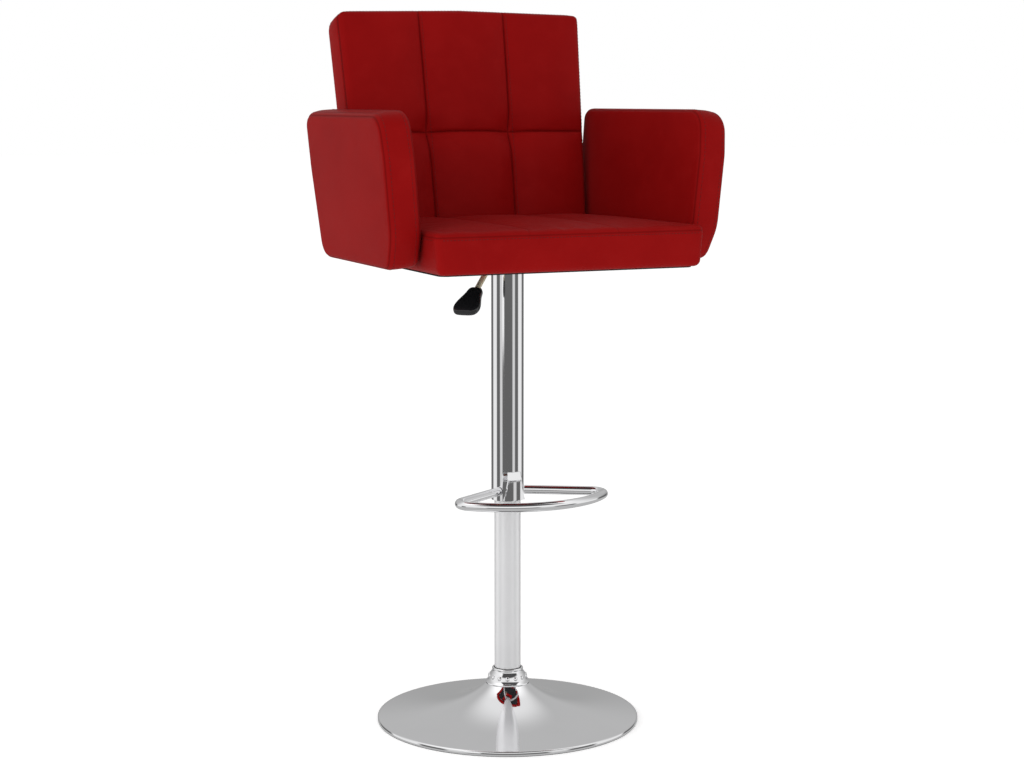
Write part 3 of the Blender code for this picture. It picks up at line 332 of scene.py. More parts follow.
def lathe(name, profile, segments):
    """Spin a closed (radius, height) outline round Z."""
    bm = bmesh.new()
    rings = []
    for r, z in profile:
        if r < 1e-7:
            rings.append([bm.verts.new((0, 0, z))])
            continue
        rings.append([bm.verts.new((r * math.cos(math.tau * k / segments), r * math.sin(math.tau * k / segments), z))
                      for k in range(segments)])
    for one, two in zip(rings, rings[1:] + rings[:1]):
        for k in range(segments):
            corners = [one[k % len(one)], one[(k + 1) % len(one)], two[(k + 1) % len(two)], two[k % len(two)]]
            unique = list(dict.fromkeys(corners))
            if len(unique) > 2:
                bm.faces.new(unique)
    return mesh_of(bm, name)


def bridge(bm, rings):
    """Join each ring of points to the next with a band of faces."""
    for one, two in zip(rings, rings[1:]):
        count = len(one)
        for k in range(count):
            bm.faces.new((one[k], one[(k + 1) % count], two[(k + 1) % count], two[k]))


def tube(name, points, radius, sides):
    """A round rod along a line of points, with closed ends."""
    bm = bmesh.new()
    rings = []
    up = Vector((0, 0, 1))
    for i, point in enumerate(points):
        ahead = (points[min(i + 1, len(points) - 1)] - points[max(i - 1, 0)]).normalized()
        across = ahead.cross(up).normalized()
        over = across.cross(ahead)
        rings.append([bm.verts.new(point + (across * math.cos(math.tau * k / sides)
                                            + over * math.sin(math.tau * k / sides)) * radius)
                      for k in range(sides)])
    bridge(bm, rings)
    bm.faces.new(rings[0])
    bm.faces.new(rings[-1])
    return mesh_of(bm, name)


def rounded_outline(corners, steps=8):
    """Points of a closed outline whose corners, (a, b, radius), are arcs."""
    points = []
    count = len(corners)
    for i, (a, b, radius) in enumerate(corners):
        corner = Vector((a, b))
        before = (Vector(corners[i - 1][:2]) - corner).normalized()
        after = (Vector(corners[(i + 1) % count][:2]) - corner).normalized()
        half = before.angle(after) / 2
        centre = corner + (before + after).normalized() * radius / math.sin(half)
        start = corner + before * radius / math.tan(half) - centre
        end = corner + after * radius / math.tan(half) - centre
        turn = start.angle_signed(end)
        for k in range(steps + 1):
            points.append(centre + Matrix.Rotation(-turn * k / steps, 2) @ start)
    return points


def resample(points, count):
    """Space a closed outline's points evenly."""
    loop = np.array([tuple(p) for p in points] + [tuple(points[0])])
    along = np.concatenate([[0], np.cumsum(np.linalg.norm(np.diff(loop, axis=0), axis=1))])
    at = np.linspace(0, along[-1], count, endpoint=False)
    return np.stack([np.interp(at, along, loop[:, i]) for i in range(2)], 1)


# ---------------------------------------------------------------- upholstery
def grid_lines(half, edge_r, seams, step):
    """Places of a padded box's grid lines across one axis: fine at its edges and its seams."""
    inner = half - edge_r
    edge = [half - edge_r * t for t in (0, 0.13, 0.30, 0.52, 0.76)]
    lines = edge + [-x for x in edge]
    fine = []
    for seam in seams:
        fine += [seam + d for d in (-0.006, -0.0034, -0.0018, -0.0008, 0, 0.0008, 0.0018, 0.0034, 0.006)]
    for side in (-1, 1):
        fine += [side * (inner - d) for d in (0, 0.0014, 0.0034, 0.006)]
    count = round(2 * inner / step)
    for k in range(count + 1):
        place = -inner + 2 * inner * k / count
        if all(abs(place - f) > step * 0.55 for f in fine):
            fine.append(place)
    return sorted(lines + fine)


def padded_box(halves, edge_r, seams=((), (), ()), step=0.006):
    """The skin of a box with round edges, as points and quads. Seams are places along x, y and z."""
    lines = [grid_lines(halves[i], min(edge_r, halves[i] * 0.6), seams[i], step) for i in range(3)]
    index, points, quads = {}, [], []

    def point(i, j, k):
        key = (i, j, k)
        if key not in index:
            raw = np.array([lines[0][i], lines[1][j], lines[2][k]])
            inner = np.clip(raw, -(np.array(halves) - edge_r), np.array(halves) - edge_r)
            away = raw - inner
            length = np.linalg.norm(away)
            index[key] = len(points)
            points.append(inner + away * edge_r / length if length > 0 else raw)
        return index[key]

    ends = [len(line) - 1 for line in lines]
    for axis in range(3):
        a, b = [i for i in range(3) if i != axis]
        for end in (0, ends[axis]):
            for i in range(ends[a]):
                for j in range(ends[b]):
                    quad = []
                    for da, db in ((0, 0), (1, 0), (1, 1), (0, 1)):
                        key = [0, 0, 0]
                        key[axis], key[a], key[b] = end, i + da, j + db
                        quad.append(point(*key))
                    quads.append(quad)
    return np.array(points), quads


def near(value, places, width):
    """1 on any of the places, falling to 0 a few widths away."""
    if not len(places):
        return np.zeros_like(value)
    return np.max([np.exp(-((value - p) / width) ** 2) for p in places], axis=0)


def pillow(value, breaks, power=2.6):
    """0 on each break and 1 midway between two neighbours."""
    out = np.zeros_like(value)
    for low, high in zip(breaks, breaks[1:]):
        t = np.clip((value - low) / (high - low), 0, 1) * 2 - 1
        inside = (value >= low) & (value <= high)
        out = np.where(inside, 1 - np.abs(t) ** power, out)
    return out


def skin_mesh(name, points, quads, seam):
    """A mesh from points and quads, with how deep in a seam each point lies, which the leather also uses for painted
    shade.
    """
    bm = bmesh.new()
    verts = [bm.verts.new(p) for p in points]
    for quad in quads:
        bm.faces.new([verts[i] for i in quad])
    bmesh.ops.recalc_face_normals(bm, faces=bm.faces)
    mesh = bpy.data.meshes.new(name)
    bm.to_mesh(mesh)
    bm.free()
    shade = mesh.attributes.new("seam", "FLOAT", "POINT")
    shade.data.foreach_set("value", np.asarray(seam, np.float32))
    return mesh


def inflate(mesh, hold, pressure, cap, slack=-0.002):
    """Blow a skin up a little with cloth simulation. Points where hold is 1 stay where they are."""
    guide = bpy.data.objects.new("inflating", mesh.copy())
    bpy.context.scene.collection.objects.link(guide)
    group = guide.vertex_groups.new(name="hold")
    for i, weight in enumerate(hold):
        if weight > 0.01:
            group.add([i], float(weight), "REPLACE")
    cloth = guide.modifiers.new("cloth", "CLOTH")
    cloth.settings.quality = 5
    cloth.settings.use_pressure = True
    cloth.settings.uniform_pressure_force = pressure
    cloth.settings.vertex_group_mass = "hold"
    cloth.settings.pin_stiffness = 5
    cloth.settings.shrink_min = slack
    cloth.settings.tension_stiffness = 25
    cloth.settings.compression_stiffness = 25
    cloth.settings.bending_stiffness = 0.8
    cloth.settings.effector_weights.gravity = 0
    scene = bpy.context.scene
    for number in range(1, 19):
        scene.frame_set(number)
    settled = guide.evaluated_get(bpy.context.evaluated_depsgraph_get()).data
    old = np.zeros(len(mesh.vertices) * 3)
    new = np.zeros(len(mesh.vertices) * 3)
    mesh.vertices.foreach_get("co", old)
    settled.vertices.foreach_get("co", new)
    move = (new - old).reshape(-1, 3)
    length = np.maximum(np.linalg.norm(move, axis=1), 1e-9)
    move *= (np.minimum(length, cap) / length)[:, None]
    mesh.vertices.foreach_set("co", (old.reshape(-1, 3) + move).ravel())
    mesh.update()
    scene.frame_set(1)
    bpy.data.objects.remove(guide)


def sink_seams(mesh, depth):
    """Press the sewn lines in along the skin's normals."""
    mesh.update()
    count = len(mesh.vertices)
    seam = np.zeros(count)
    mesh.attributes["seam"].data.foreach_get("value", seam)
    places, normals = np.zeros(count * 3), np.zeros(count * 3)
    mesh.vertices.foreach_get("co", places)
    mesh.vertices.foreach_get("normal", normals)
    places = places.reshape(-1, 3) - normals.reshape(-1, 3) * (seam * depth)[:, None]
    mesh.vertices.foreach_set("co", places.ravel())
    mesh.update()


def subdivide(piece):
    """One level of subdivision, the same on screen and in the render."""
    modifier = piece.modifiers.new("round", "SUBSURF")
    modifier.levels = modifier.render_levels = 1
    modifier.use_limit_surface = False


def grow_tree(name, source, sizes, result):
    """An empty geometry-nodes tree with named inputs, and the function that adds its nodes."""
    tree = bpy.data.node_groups.new(name, "GeometryNodeTree")
    tree.interface.new_socket(source, in_out="INPUT", socket_type="NodeSocketGeometry")
    for size, value in sizes.items():
        tree.interface.new_socket(size, in_out="INPUT", socket_type="NodeSocketFloat").default_value = value
    tree.interface.new_socket(result, in_out="OUTPUT", socket_type="NodeSocketGeometry")

    def node(kind, settings=None, inputs=None):
        made = tree.nodes.new(kind)
        for key, value in (settings or {}).items():
            setattr(made, key, value)
        for key, value in (inputs or {}).items():
            if isinstance(value, bpy.types.NodeSocket):
                tree.links.new(value, made.inputs[key])
            else:
                made.inputs[key].default_value = value
        return made

    return tree, node


def place_balls(node, points, facing, ball, size, material, result):
    """End a tree: a scaled ball on each point, turned to face a way, made real and given its material."""
    turned = node("FunctionNodeAlignEulerToVector", {"axis": "Z"}, {"Vector": facing}).outputs["Rotation"]
    shape = node("GeometryNodeMeshUVSphere", None, ball).outputs["Mesh"]
    scale = node("ShaderNodeCombineXYZ", None, size).outputs["Vector"]
    placed = node("GeometryNodeInstanceOnPoints", None,
                  {"Points": points, "Instance": shape, "Rotation": turned, "Scale": scale})
    real = node("GeometryNodeRealizeInstances", None, {"Geometry": placed.outputs["Instances"]})
    coloured = node("GeometryNodeSetMaterial", None, {"Geometry": real.outputs["Geometry"], "Material": material})
    node("NodeGroupOutput", None, {result: coloured.outputs["Geometry"]})


def stitch_tree():
    """Geometry nodes: a row of thread stitches along each line of edges."""
    sizes = {"Pitch": STITCH_PITCH, "Stitch length": STITCH_L, "Thread radius": STITCH_R}
    tree, node = grow_tree("stitch_row", "Lines", sizes, "Stitches")
    given = node("NodeGroupInput").outputs
    curve = node("GeometryNodeMeshToCurve", None, {"Mesh": given["Lines"]}).outputs["Curve"]
    spaced = node("GeometryNodeResampleCurve", {"mode": "LENGTH"}, {"Curve": curve, "Length": given["Pitch"]})
    tangent = node("GeometryNodeInputTangent").outputs["Tangent"]
    half = node("ShaderNodeMath", {"operation": "MULTIPLY"}, {0: given["Stitch length"], 1: 0.5}).outputs[0]
    place_balls(node, spaced.outputs["Curve"], tangent, {"Segments": 6, "Rings": 5, "Radius": 1.0},
                {"X": given["Thread radius"], "Y": given["Thread radius"], "Z": half}, THREAD, "Stitches")
    return tree


STITCH_ROW = stitch_tree()


def grown(lines_mesh, tree, inputs, name):
    """Run a geometry-nodes tree on a mesh of lines or points and return the plain mesh that it makes."""
    guide = bpy.data.objects.new(name, lines_mesh)
    bpy.context.scene.collection.objects.link(guide)
    modifier = guide.modifiers.new("grow", "NODES")
    modifier.node_group = tree
    for item in tree.interface.items_tree:
        if item.item_type == "SOCKET" and item.in_out == "INPUT" and item.name in inputs:
            modifier[item.identifier] = inputs[item.name]
    graph = bpy.context.evaluated_depsgraph_get()
    mesh = bpy.data.meshes.new_from_object(guide.evaluated_get(graph), depsgraph=graph)
    guide.modifiers.remove(modifier)
    bpy.data.objects.remove(guide)
    mesh.name = name
    return mesh


def add_stitches(name, piece, lines):
    """Rows of stitches laid on a piece's finished skin."""
    graph = bpy.context.evaluated_depsgraph_get()
    skin = piece.evaluated_get(graph)
    surface = BVHTree.FromObject(skin, graph)
    to_world = piece.matrix_world
    mesh = bpy.data.meshes.new(name + "_lines")
    points, edges = [], []
    for line in lines:
        start = len(points)
        for place in line:
            spot, normal, _, _ = surface.find_nearest(to_world.inverted() @ Vector(place))
            points.append(to_world @ (spot + normal * STITCH_LIFT))
        edges += [(i, i + 1) for i in range(start, len(points) - 1)]
    mesh.from_pydata(points, edges, [])
    made = grown(mesh, STITCH_ROW, {"Pitch": STITCH_PITCH}, name)
    add_piece(name, made, THREAD, "upper", smooth_angle=60)


# ---------------------------------------------------------------- backrest
def back_frame():
    """The leaning frame at the centre of the back board: x across, y through, z up the back."""
    low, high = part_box("back_board")
    return Matrix.Translation((low + high) / 2) @ Matrix.Rotation(-BACK_RECLINE, 4, "X")


BACK_T = 0.049
BACK_FRONT = -0.0278        # from the board's centre to the front face
BACK_LOW = -0.170
BACK_HIGH = 0.1840
BACK_CROWN = 0.004
BACK_TAPER = 0.036
BACK_SEAM_X = 0.0645
BACK_SEAM_Z = 0.0052


def add_backrest():
    """Padded back: six puffed panels in front, plain behind, with a sewn boxing strip round it."""
    half_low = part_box("back_cushion")[1].x - BACK_TAPER * (BACK_HIGH - BACK_LOW)
    halves = (half_low, BACK_T / 2 - 0.001, (BACK_HIGH - BACK_LOW) / 2)
    mid_z = (BACK_HIGH + BACK_LOW) / 2
    seam_z = BACK_SEAM_Z - mid_z
    edge_r = 0.0065
    raw, quads = padded_box(halves, edge_r, ((-BACK_SEAM_X, BACK_SEAM_X), (), (seam_z,)), 0.0065)
    x, y, z = raw.T
    front = np.clip((-y - halves[1] + edge_r * 1.05) / (edge_r * 1.05), 0, 1)
    rear = np.clip((y - halves[1] + edge_r * 1.05) / (edge_r * 1.05), 0, 1)
    puff_x = pillow(x, (-halves[0], -BACK_SEAM_X, BACK_SEAM_X, halves[0]))
    puff_z = pillow(z, (-halves[2], seam_z, halves[2]), 3.2)
    on_x = near(x, (-BACK_SEAM_X, BACK_SEAM_X), 0.0026)
    on_z = near(z, (seam_z,), 0.0026)
    button = near(x, (-BACK_SEAM_X, BACK_SEAM_X), 0.021) * near(z, (seam_z,), 0.019)
    puff = 0.0088 * (np.clip(puff_x, 0, 1) * np.clip(puff_z, 0, 1)) ** 0.72
    depth = puff - 0.0012 * np.maximum(on_x, on_z) - 0.0085 * button
    moved = raw.copy()
    moved[:, 1] -= front * depth
    boxing = np.clip((np.abs(x) - halves[0] + edge_r) / edge_r, 0, 1)
    moved[:, 0] += np.sign(x) * boxing * 0.0032 * (0.35 + 0.65 * pillow(y, (-halves[1], halves[1]), 2.2))
    moved[:, 1] += rear * 0.003 * pillow(x, (-halves[0], halves[0]), 4) * pillow(z, (-halves[2], halves[2]), 4)
    # rounded upper corners, the crowned top and the taper towards the seat
    corner = 0.012 + 0.014 * np.clip((y + halves[1]) / (2 * halves[1]), 0, 1)
    over_x = np.clip(np.abs(x) - (halves[0] - corner), 0, corner)
    over_z = np.clip(z - (halves[2] - corner), 0, corner)
    spread = np.hypot(over_x, over_z)
    pull = np.minimum(1, corner / np.maximum(spread, 1e-9))
    moved[:, 0] = np.sign(x) * (np.abs(moved[:, 0]) - over_x + over_x * pull)
    moved[:, 2] = moved[:, 2] - over_z + over_z * pull
    share = (moved[:, 2] + halves[2]) / (2 * halves[2])
    moved[:, 0] *= 1 + BACK_TAPER * 2 * halves[2] * share / halves[0]
    moved[:, 2] += BACK_CROWN * share * (1 - np.abs(x / halves[0])) + mid_z
    moved[:, 1] += BACK_FRONT + BACK_T / 2
    seam_front = front * np.maximum(near(x, (-BACK_SEAM_X, BACK_SEAM_X), SEAM_W), near(z, (seam_z,), SEAM_W))
    rim = near(np.abs(x), (halves[0],), 0.004) + near(np.abs(z), (halves[2],), 0.004)
    boxed = near(np.abs(y), (halves[1] - edge_r * 0.62,), 0.0009) * np.clip(rim, 0, 1)
    seam = np.clip(seam_front + boxed, 0, 1)
    hold = np.clip(np.maximum(on_x, on_z) * front + (1 - front) + near(np.abs(x), (halves[0],), 0.008)
                   + near(np.abs(z), (halves[2],), 0.008), 0, 1)
    mesh = skin_mesh("back_pad", moved, quads, seam)
    inflate(mesh, hold, 3.0, 0.006)
    sink_seams(mesh, 0.0009)
    mesh.transform(back_frame())
    piece = add_piece("back_pad", mesh, LEATHER, "upper", ("back_cushion",), 180)
    subdivide(piece)

    place = back_frame()
    y_front = BACK_FRONT - 0.004

    def side_line(offset):
        """The line at an offset from the edge seam, up one side, over the top and down the other."""
        legs = []
        top = BACK_HIGH - 0.0003
        for side in (-1, 1):
            leg = []
            for k in range(61):
                up = BACK_LOW + (top - BACK_LOW - 0.012) * k / 60
                half = half_low + BACK_TAPER * (up - BACK_LOW)
                leg.append((side * half, offset, up))
            for k in range(1, 8):
                turn = math.pi / 2 * k / 8
                half = half_low + BACK_TAPER * (top - BACK_LOW)
                leg.append((side * (half - 0.012 + 0.012 * math.cos(turn)), offset,
                            top - 0.012 + 0.012 * math.sin(turn)))
            legs.append(leg)
        across = [(x_at, offset, top + BACK_CROWN * (1 - abs(x_at) / 0.19))
                  for x_at in np.linspace(-0.178, 0.178, 60)]
        return [place @ Vector(p) for p in legs[0] + across + legs[1][::-1]]

    rows = [side_line(BACK_FRONT + TOPSTITCH + 0.002), side_line(BACK_FRONT + BACK_T - TOPSTITCH - 0.002)]
    for sign in (-1, 1):
        leg = []
        for k in range(90):
            up = BACK_LOW + 0.006 + (BACK_HIGH - BACK_LOW - 0.012) * k / 89
            wide = 1 + BACK_TAPER * (up - BACK_LOW) / half_low
            leg.append(place @ Vector((sign * BACK_SEAM_X * wide + 0.0024, y_front, up)))
        rows.append(leg)
    add_stitches("back_stitching", piece, rows)


# ---------------------------------------------------------------- seat
def seat_half(y, z, low, high):
    """Half the seat's width at a place: it follows the arms' inner faces."""
    return high.x - math.tan(ARM_TOE) * (y - low.y) + math.tan(ARM_TILT) * (z - high.z)


def add_seat():
    """Seat pad: crowned top with a sewn front edge and two faint channels, drawn in at its corners."""
    low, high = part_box("seat_cushion")
    rear_y = high.y - 0.0008
    front_y = low.y
    half_w = 0.2
    half_l, half_h = Vector((rear_y - front_y, high.z - low.z)) / 2
    halves = (half_w, half_l, half_h)
    mid = Vector((0, (rear_y + front_y) / 2, (high.z + low.z) / 2))
    edge_r = 0.0088
    channels = (-0.066, 0.066)
    piping_drop = 0.0072
    stitch_drop = piping_drop + 0.0034
    raw, quads = padded_box(halves, edge_r, (channels, (), ()), 0.0065)
    x, y, z = raw.T
    top = np.clip((z - halves[2] + edge_r * 1.1) / (edge_r * 1.1), 0, 1)
    swell = pillow(x, (-halves[0], halves[0]), 3.4) * pillow(y, (-halves[1], halves[1]), 3.6)
    cross = near(x, channels, 0.0030)
    # short soft gathers run back from the front seam
    gathers = 0.0007 * np.sin(x * 118 + 2.2 * np.sin(x * 31)) * np.exp(-np.abs(y + halves[1] - 0.012) / 0.014)
    moved = raw.copy()
    moved[:, 2] += top * (0.0042 * swell - 0.0016 * cross * pillow(y, (-halves[1], halves[1]), 6) + gathers)
    face = np.clip((-y - halves[1] + edge_r * 1.1) / (edge_r * 1.1), 0, 1)
    moved[:, 1] -= face * 0.0022 * pillow(z, (-halves[2], halves[2]), 2.2) * pillow(x, (-halves[0], halves[0]), 8)
    lean = math.tan(BACK_RECLINE) * (z - halves[2]) * np.clip(y / halves[1], 0, 1)
    world_y = moved[:, 1] + mid.y + lean
    world_z = moved[:, 2] + mid.z
    half = np.array([seat_half(b, c, low, high) for b, c in zip(world_y, world_z)])
    moved[:, 0] *= half / halves[0]
    moved[:, 1] = world_y
    moved[:, 2] = world_z
    rim = near(np.abs(x), (halves[0],), 0.005) + near(y, (-halves[1],), 0.005)
    piped = near(z, (halves[2] - piping_drop,), 0.0010) * np.clip(rim, 0, 1)
    seam = np.clip(top * near(x, channels, SEAM_W) * 0.5 + piped, 0, 1)
    hold = np.clip((1 - top) + near(np.abs(x), (halves[0],), 0.01) + near(np.abs(y), (halves[1],), 0.01)
                   + cross * 0.6, 0, 1)
    mesh = skin_mesh("seat_pad", moved, quads, seam)
    inflate(mesh, hold, 2.5, 0.005)
    sink_seams(mesh, 0.0009)
    piece = add_piece("seat_pad", mesh, LEATHER, "upper", ("seat_cushion",), 180)
    subdivide(piece)
    z_at = high.z - stitch_drop
    side_y = np.linspace(rear_y - 0.02, front_y + 0.012, 60)
    row = [(-seat_half(y_at, z_at, low, high), y_at, z_at) for y_at in side_y]
    row += [(x_at, front_y, z_at) for x_at in np.linspace(-0.196, 0.196, 90)]
    row += [(seat_half(y_at, z_at, low, high), y_at, z_at) for y_at in side_y[::-1]]
    add_stitches("seat_stitching", piece, [row])


def add_lining():
    """The black cloth under the seat: a thin sheet with rounded corners and a square opening."""
    low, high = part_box("underside_sheet")
    seat_low, seat_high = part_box("seat_cushion")
    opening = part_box("mechanism_plate")[1].x + 0.006
    z_top = high.z + 0.0001
    outline = []
    front_y = low.y + 0.0030
    for x_sign, y_at in ((-1, front_y), (1, front_y), (1, high.y), (-1, high.y)):
        half = seat_half(y_at, seat_low.z, seat_low, seat_high) - 0.0065
        outline.append((x_sign * half, y_at, 0.010))
    outer = rounded_outline(outline, 5)
    inner = rounded_outline([(-opening, -opening, 0.004), (opening, -opening, 0.004),
                             (opening, opening, 0.004), (-opening, opening, 0.004)], 5)
    bm = bmesh.new()
    loops = []
    for ring, z_at in ((outer, z_top), (outer, z_top - 0.0015), (inner, z_top - 0.0015), (inner, z_top)):
        loops.append([bm.verts.new((p[0], p[1], z_at)) for p in ring])
    bridge(bm, loops + loops[:1])
    add_piece("seat_lining", mesh_of(bm, "seat_lining"), LINING, "upper", ("underside_sheet",), 30)


# ---------------------------------------------------------------- arms
ARM_T = 0.0455
ARM_BOARD_OUT = 0.02268     # from the outer face to the board's centre
ARM_LOW = -0.089
ARM_HIGH = 0.120


def arm_frame(side):
    """The leaning frame at the centre of an arm's board: x outward, y back, z up the arm."""
    low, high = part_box("left_arm_board" if side > 0 else "right_arm_board")
    turn = Matrix.Rotation(side * ARM_TOE, 4, "Z") @ Matrix.Rotation(side * ARM_TILT, 4, "Y")
    return Matrix.Translation((low + high) / 2) @ turn @ Matrix.Diagonal((side, 1, 1, 1))


def arm_outline(inset=0.0):
    """The arm's side view, (y, z): a bulging front and a leaning rear."""
    half_l = 0.1655
    front = -half_l + inset
    rear = half_l - inset
    low = ARM_LOW + inset
    high = ARM_HIGH - inset
    shrink = inset * 0.7
    return rounded_outline([
        (front + 0.026, low, 0.022 - shrink), (front + 0.003, low + 0.045, 0.06),
        (front, high - 0.060, 0.06), (front + 0.008, high, 0.030 - shrink),
        (rear, high, 0.016 - shrink), (rear - 0.002, high - 0.080, 0.06),
        (rear - 0.020, low, 0.028 - shrink)], 10)


def add_arm(name, side):
    """One arm: two side panels sewn to a boxing strip, with a topstitched seam on each edge."""
    count = 190
    edge_r = 0.0060
    half_t = ARM_T / 2
    outline = resample(arm_outline(), count)
    centre = outline.mean(0)
    # the section, (x, inset, share), from the middle of one panel over the boxing to the other
    panel_steps = 26
    section = []
    for k in range(panel_steps + 1):
        share = 1 - (k / panel_steps) ** 0.8
        section.append((half_t, edge_r + (0.086 - edge_r) * share, share))
    arc = 6
    for k in range(1, arc + 1):
        turn = math.pi / 2 * k / arc
        section.append((half_t - edge_r + edge_r * math.cos(turn), edge_r - edge_r * math.sin(turn), 0))
    boxing = 12
    for k in range(1, boxing):
        section.append((half_t - edge_r - (ARM_T - 2 * edge_r) * k / boxing, 0, 0))
    mirrored = [(-x, inset, share) for x, inset, share in reversed(section[:panel_steps + 1 + arc])]
    section += mirrored
    tangent = np.roll(outline, -1, 0) - np.roll(outline, 1, 0)
    inward = np.stack([-tangent[:, 1], tangent[:, 0]], 1)
    inward /= np.linalg.norm(inward, axis=1)[:, None]
    if ((centre - outline) * inward).sum() < 0:
        inward = -inward
    points, seam, hold = [], [], []
    for x, inset, share in section:
        if share > 0:
            ring = centre + (outline + inward * edge_r - centre) * (1 - share)
            crown = 0.0036 * (1 - (1 - share) ** 3.2)
        else:
            ring = outline + inward * inset
            crown = 0.0
        bulge = 0.0010 * max(0.0, 1 - (x / half_t) ** 2) if inset == 0 else 0.0
        ring = ring - inward * bulge
        for y_at, z_at in ring:
            outside = max(0.0, x / half_t) ** 2 * min(1.0, max(0.0, (z_at - 0.06) / 0.05))
            droop = outside * (0.0030 + 0.0060 * max(0.0, (y_at - 0.132) / 0.034) ** 2)
            points.append((x + math.copysign(crown, x), y_at, z_at - droop))
        away = abs(abs(x) - (half_t - edge_r * 0.30)) if share == 0 else 1.0
        seam += [math.exp(-(away / 0.0009) ** 2)] * count
        hold += [1.0 if share < 0.06 else 0.0] * count
    rings = len(section)
    quads = [[i * count + k, i * count + (k + 1) % count, (i + 1) * count + (k + 1) % count, (i + 1) * count + k]
             for i in range(rings - 1) for k in range(count)]
    # the innermost ring of each panel closes on the panel's middle
    merged = {ring * count + k: ring * count for ring in (0, rings - 1) for k in range(count)}
    fixed = []
    for quad in quads:
        corners = list(dict.fromkeys(merged.get(i, i) for i in quad))
        if len(corners) > 2:
            fixed.append(corners)
    used = sorted({i for quad in fixed for i in quad})
    renumber = {old: new for new, old in enumerate(used)}
    kept = [points[i] for i in used]
    faces = [[renumber[i] for i in quad] for quad in fixed]
    mesh = skin_mesh(name + "_pad", kept, faces, [seam[i] for i in used])
    inflate(mesh, [hold[i] for i in used], 1.4, 0.0018, 0.002)
    sink_seams(mesh, 0.0008)
    place = arm_frame(side) @ Matrix.Translation((ARM_BOARD_OUT - half_t, 0, 0))
    mesh.transform(place)
    if place.determinant() < 0:
        mesh.flip_normals()
    piece = add_piece(name + "_pad", mesh, LEATHER, "upper", (name + "_cushion",), 180)
    subdivide(piece)
    rows = []
    for x_at in (half_t - TOPSTITCH - 0.0035, -half_t + TOPSTITCH + 0.0035):
        row = [place @ Vector((x_at, y_at, z_at)) for y_at, z_at in outline]
        rows.append(row + row[:1])
    add_stitches(name + "_stitching", piece, rows)


# ---------------------------------------------------------------- pedestal
def add_base():
    """The spun trumpet base: a thin polished shell that flares up to its neck."""
    low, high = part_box("base_shell")
    rim_r = high.x
    neck_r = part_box("collar")[1].x
    hole_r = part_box("lower_column")[1].x + 0.0003
    rim_z = 0.0065
    wall = 0.0015
    rise = high.z - rim_z - BASE_SLOPE * (rim_r - neck_r)

    def height(r):
        return rim_z + BASE_SLOPE * (rim_r - r) + rise * math.exp((neck_r - r) / BASE_FLARE)

    steps = 70
    radii = [neck_r + (rim_r - 0.002 - neck_r) * (k / steps) ** 1.5 for k in range(steps + 1)]
    outer = [(r, height(r)) for r in radii]
    edge = outer[-1][1]
    lip = [(rim_r - 0.0011, edge - 0.0003), (rim_r - 0.0004, edge - 0.0009), (rim_r, edge - 0.0018),
           (rim_r, 0.0013), (rim_r - 0.0001, 0.0009)]
    under = 1.35 * wall
    inner = [(rim_r - 0.00028, 0.0009), (rim_r - 0.00028, low.z), (rim_r - wall, low.z)]
    inner += [(r - wall, height(r) - under) for r in reversed(radii)]
    profile = [(hole_r, high.z)] + outer + lip + inner + [(hole_r, high.z - under)]
    add_piece("base_shell_polished", lathe("base_shell_polished", profile, 200), CHROME, "base",
              ("base_shell",), 50)


def stud_tree():
    """Geometry nodes: one small domed stud on each point, its dome along the point's normal."""
    tree, node = grow_tree("stud_ring", "Points", {"Radius": STUD_R}, "Studs")
    given = node("NodeGroupInput").outputs
    facing = node("GeometryNodeInputNamedAttribute", {"data_type": "FLOAT_VECTOR"}, {"Name": "facing"})
    dome = node("ShaderNodeMath", {"operation": "MULTIPLY"}, {0: given["Radius"], 1: 0.62}).outputs[0]
    place_balls(node, given["Points"], facing.outputs["Attribute"], {"Segments": 20, "Rings": 12, "Radius": 1.0},
                {"X": given["Radius"], "Y": given["Radius"], "Z": dome}, CHROME, "Studs")
    return tree


def add_collar():
    """The cone-shaped collar at the column's foot, with a ring of domed studs and a rolled lip."""
    low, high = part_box("collar")
    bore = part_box("lower_column")[1].x + 0.0003
    foot_r, top_r = high.x, 0.0222
    z0, z1 = low.z, high.z
    profile = [(bore, z0), (foot_r, z0), (foot_r, z0 + 0.0012), (foot_r - 0.0006, z0 + 0.0020),
               (foot_r - 0.0024, z0 + 0.0034), (foot_r - 0.0040, z0 + 0.0062), (foot_r - 0.0056, z0 + 0.0104),
               (foot_r - 0.0074, z0 + 0.0140), (foot_r - 0.0094, z0 + 0.0170), (foot_r - 0.0106, z0 + 0.0188),
               (top_r + 0.0002, z1 - 0.0034), (top_r + 0.0007, z1 - 0.0026), (top_r + 0.0007, z1 - 0.0012),
               (top_r + 0.0001, z1 - 0.0003), (top_r - 0.0006, z1), (bore, z1)]
    add_piece("collar_polished", lathe("collar_polished", profile, 96), CHROME, "base", ("collar",), 45)
    count = 14
    ring_r, ring_z = foot_r - 0.0060, z0 + 0.0100
    facing = Vector((1, 0, 0.52)).normalized()
    points, normals = [], []
    for k in range(count):
        turn = Matrix.Rotation(math.tau * (k + 0.5) / count, 3, "Z")
        points.append(turn @ Vector((ring_r, 0, ring_z)))
        normals.append(turn @ facing)
    mesh = bpy.data.meshes.new("stud_places")
    mesh.from_pydata(points, [], [])
    attribute = mesh.attributes.new("facing", "FLOAT_VECTOR", "POINT")
    attribute.data.foreach_set("vector", [c for n in normals for c in n])
    made = grown(mesh, stud_tree(), {"Radius": STUD_R}, "collar_studs")
    add_piece("collar_studs", made, CHROME, "base", smooth_angle=60)


def ring_profile(inner, outer, low, high):
    """A plain ring whose outer edges are just broken."""
    lip = 0.0004
    return [(inner, low), (outer - lip, low), (outer, low + lip), (outer, high - lip), (outer - lip, high),
            (inner, high)]


